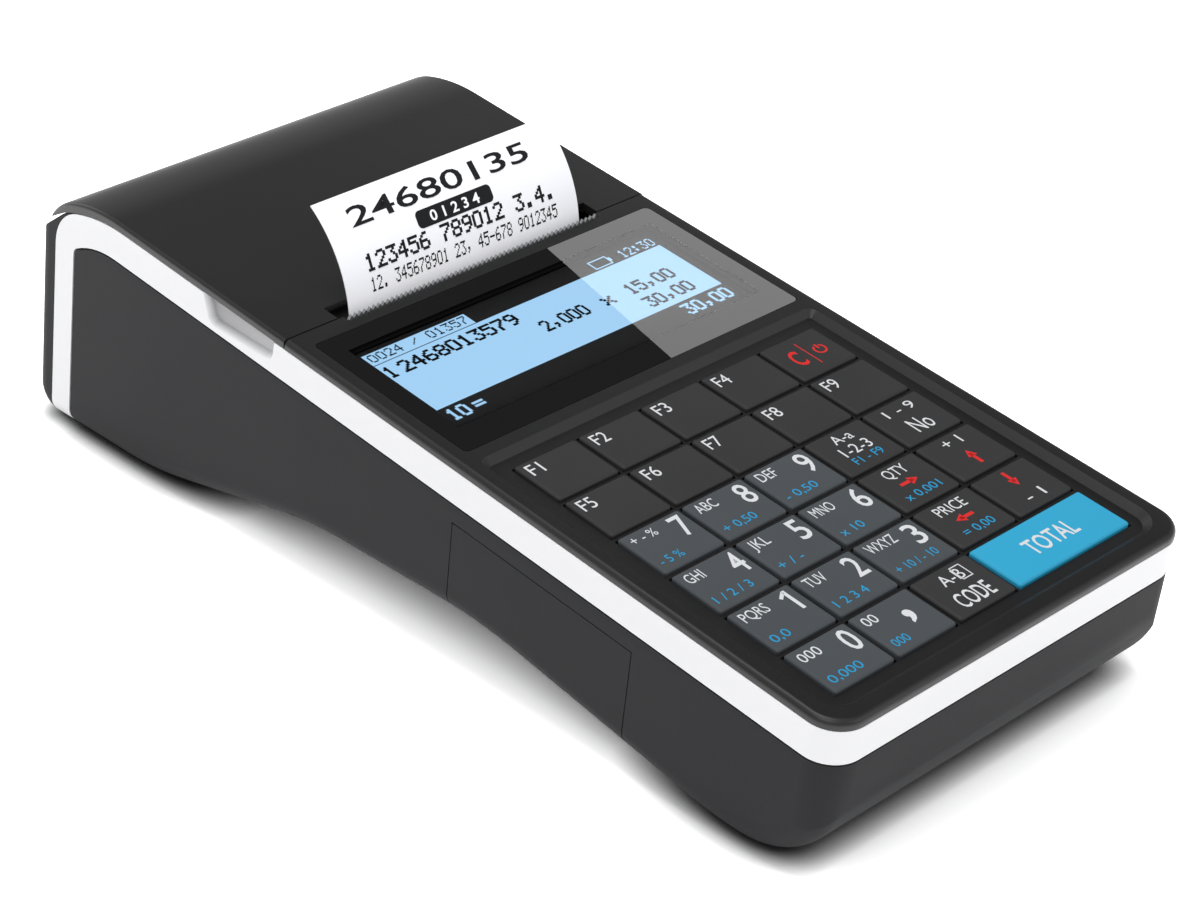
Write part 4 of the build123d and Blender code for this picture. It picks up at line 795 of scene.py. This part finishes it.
def studio():
    """A world that lights softly, and is white where the camera sees it."""
    made = bpy.data.worlds.new("studio")
    made.use_nodes = True
    tree = made.node_tree
    sky = feed(tree, tree.nodes["Background"], {"Color": WHITE, "Strength": SKY_STRENGTH})
    backdrop = new_node(tree, "Background", {"Color": WHITE, "Strength": 1.0})
    seen = new_node(tree, "LightPath").outputs["Is Camera Ray"]
    choice = shader_mix(tree, seen, sky, backdrop)
    feed(tree, tree.nodes["World Output"], {"Surface": choice.outputs[0]})
    return made


bpy.ops.object.select_all(action="DESELECT")
bpy.ops.mesh.primitive_plane_add(size=12, location=(0, 0, 0))
floor = bpy.context.object
floor.name = "floor"
floor.data.materials.append(white_floor())
bpy.context.scene.world = studio()

# ---------------------------------------------------------------- lamps and cards, in metres
LAMP_AIM = Vector((0, 0, 0.03))


def lamp(name, place, power, size):
    """A square soft lamp aimed at the register."""
    bpy.ops.object.light_add(type="AREA", location=place)
    made = bpy.context.object
    made.name = name
    made.data.shape = "SQUARE"
    made.data.size = size
    made.data.energy = power
    made.rotation_euler = (LAMP_AIM - Vector(place)).to_track_quat("-Z", "Y").to_euler()


lamp("key_lamp", (-0.75, -0.35, 1.15), 5.0, 0.8)
lamp("top_lamp", (-0.05, 0.1, 1.1), 3.2, 0.4)
lamp("fill_lamp", (0.5, -1.0, 0.7), 2.6, 0.8)
lamp("rear_lamp", (-0.15, 1.15, 0.5), 2.4, 0.7)

MIRRORED_EYE = Vector((-340.9, -217.2, -302.2))  # the camera mirrored in the window, in deck millimetres


def card(name, corners, distance, colour, strength):
    """A card seen only in polished faces, set where the window mirrors its corners to the eye."""
    bpy.ops.object.select_all(action="DESELECT")
    bpy.ops.mesh.primitive_plane_add(size=1)
    made = bpy.context.object
    made.name = name
    for corner, (x, along) in zip(made.data.vertices, corners):
        corner.co = deck_point(*(MIRRORED_EYE + distance * (Vector((x, along, 0)) - MIRRORED_EYE)))
    glow, tree = new_material(name)
    light = new_node(tree, "Emission", {"Color": colour, "Strength": strength})
    feed(tree, tree.nodes["Material Output"], {"Surface": light.outputs[0]})
    made.data.materials.append(glow)
    made.visible_camera = False
    made.visible_diffuse = False
    made.visible_shadow = False
    made.visible_transmission = False
    return made


glare = card("glare_card", ((7.7, 88.0), (43.0, 88.0), (15.3, 131.0), (43.0, 131.0)), 2.5, WHITE, 3.25)
flag = card("black_flag", ((-180, -90), (140, -90), (-180, 190), (140, 190)), 2.6, (0, 0, 0, 1), 0.0)

# ---------------------------------------------------------------- camera
bpy.ops.object.camera_add(location=(-0.3409, -0.3573, 0.3087))
camera = bpy.context.object
camera.rotation_euler = [math.radians(angle) for angle in (59.620239, -0.729871, -43.926795)]
camera.data.sensor_width = 36
camera.data.lens = 93.18
camera.data.clip_start = 0.01
bpy.context.scene.camera = camera
bpy.context.scene.view_settings.view_transform = "Standard"
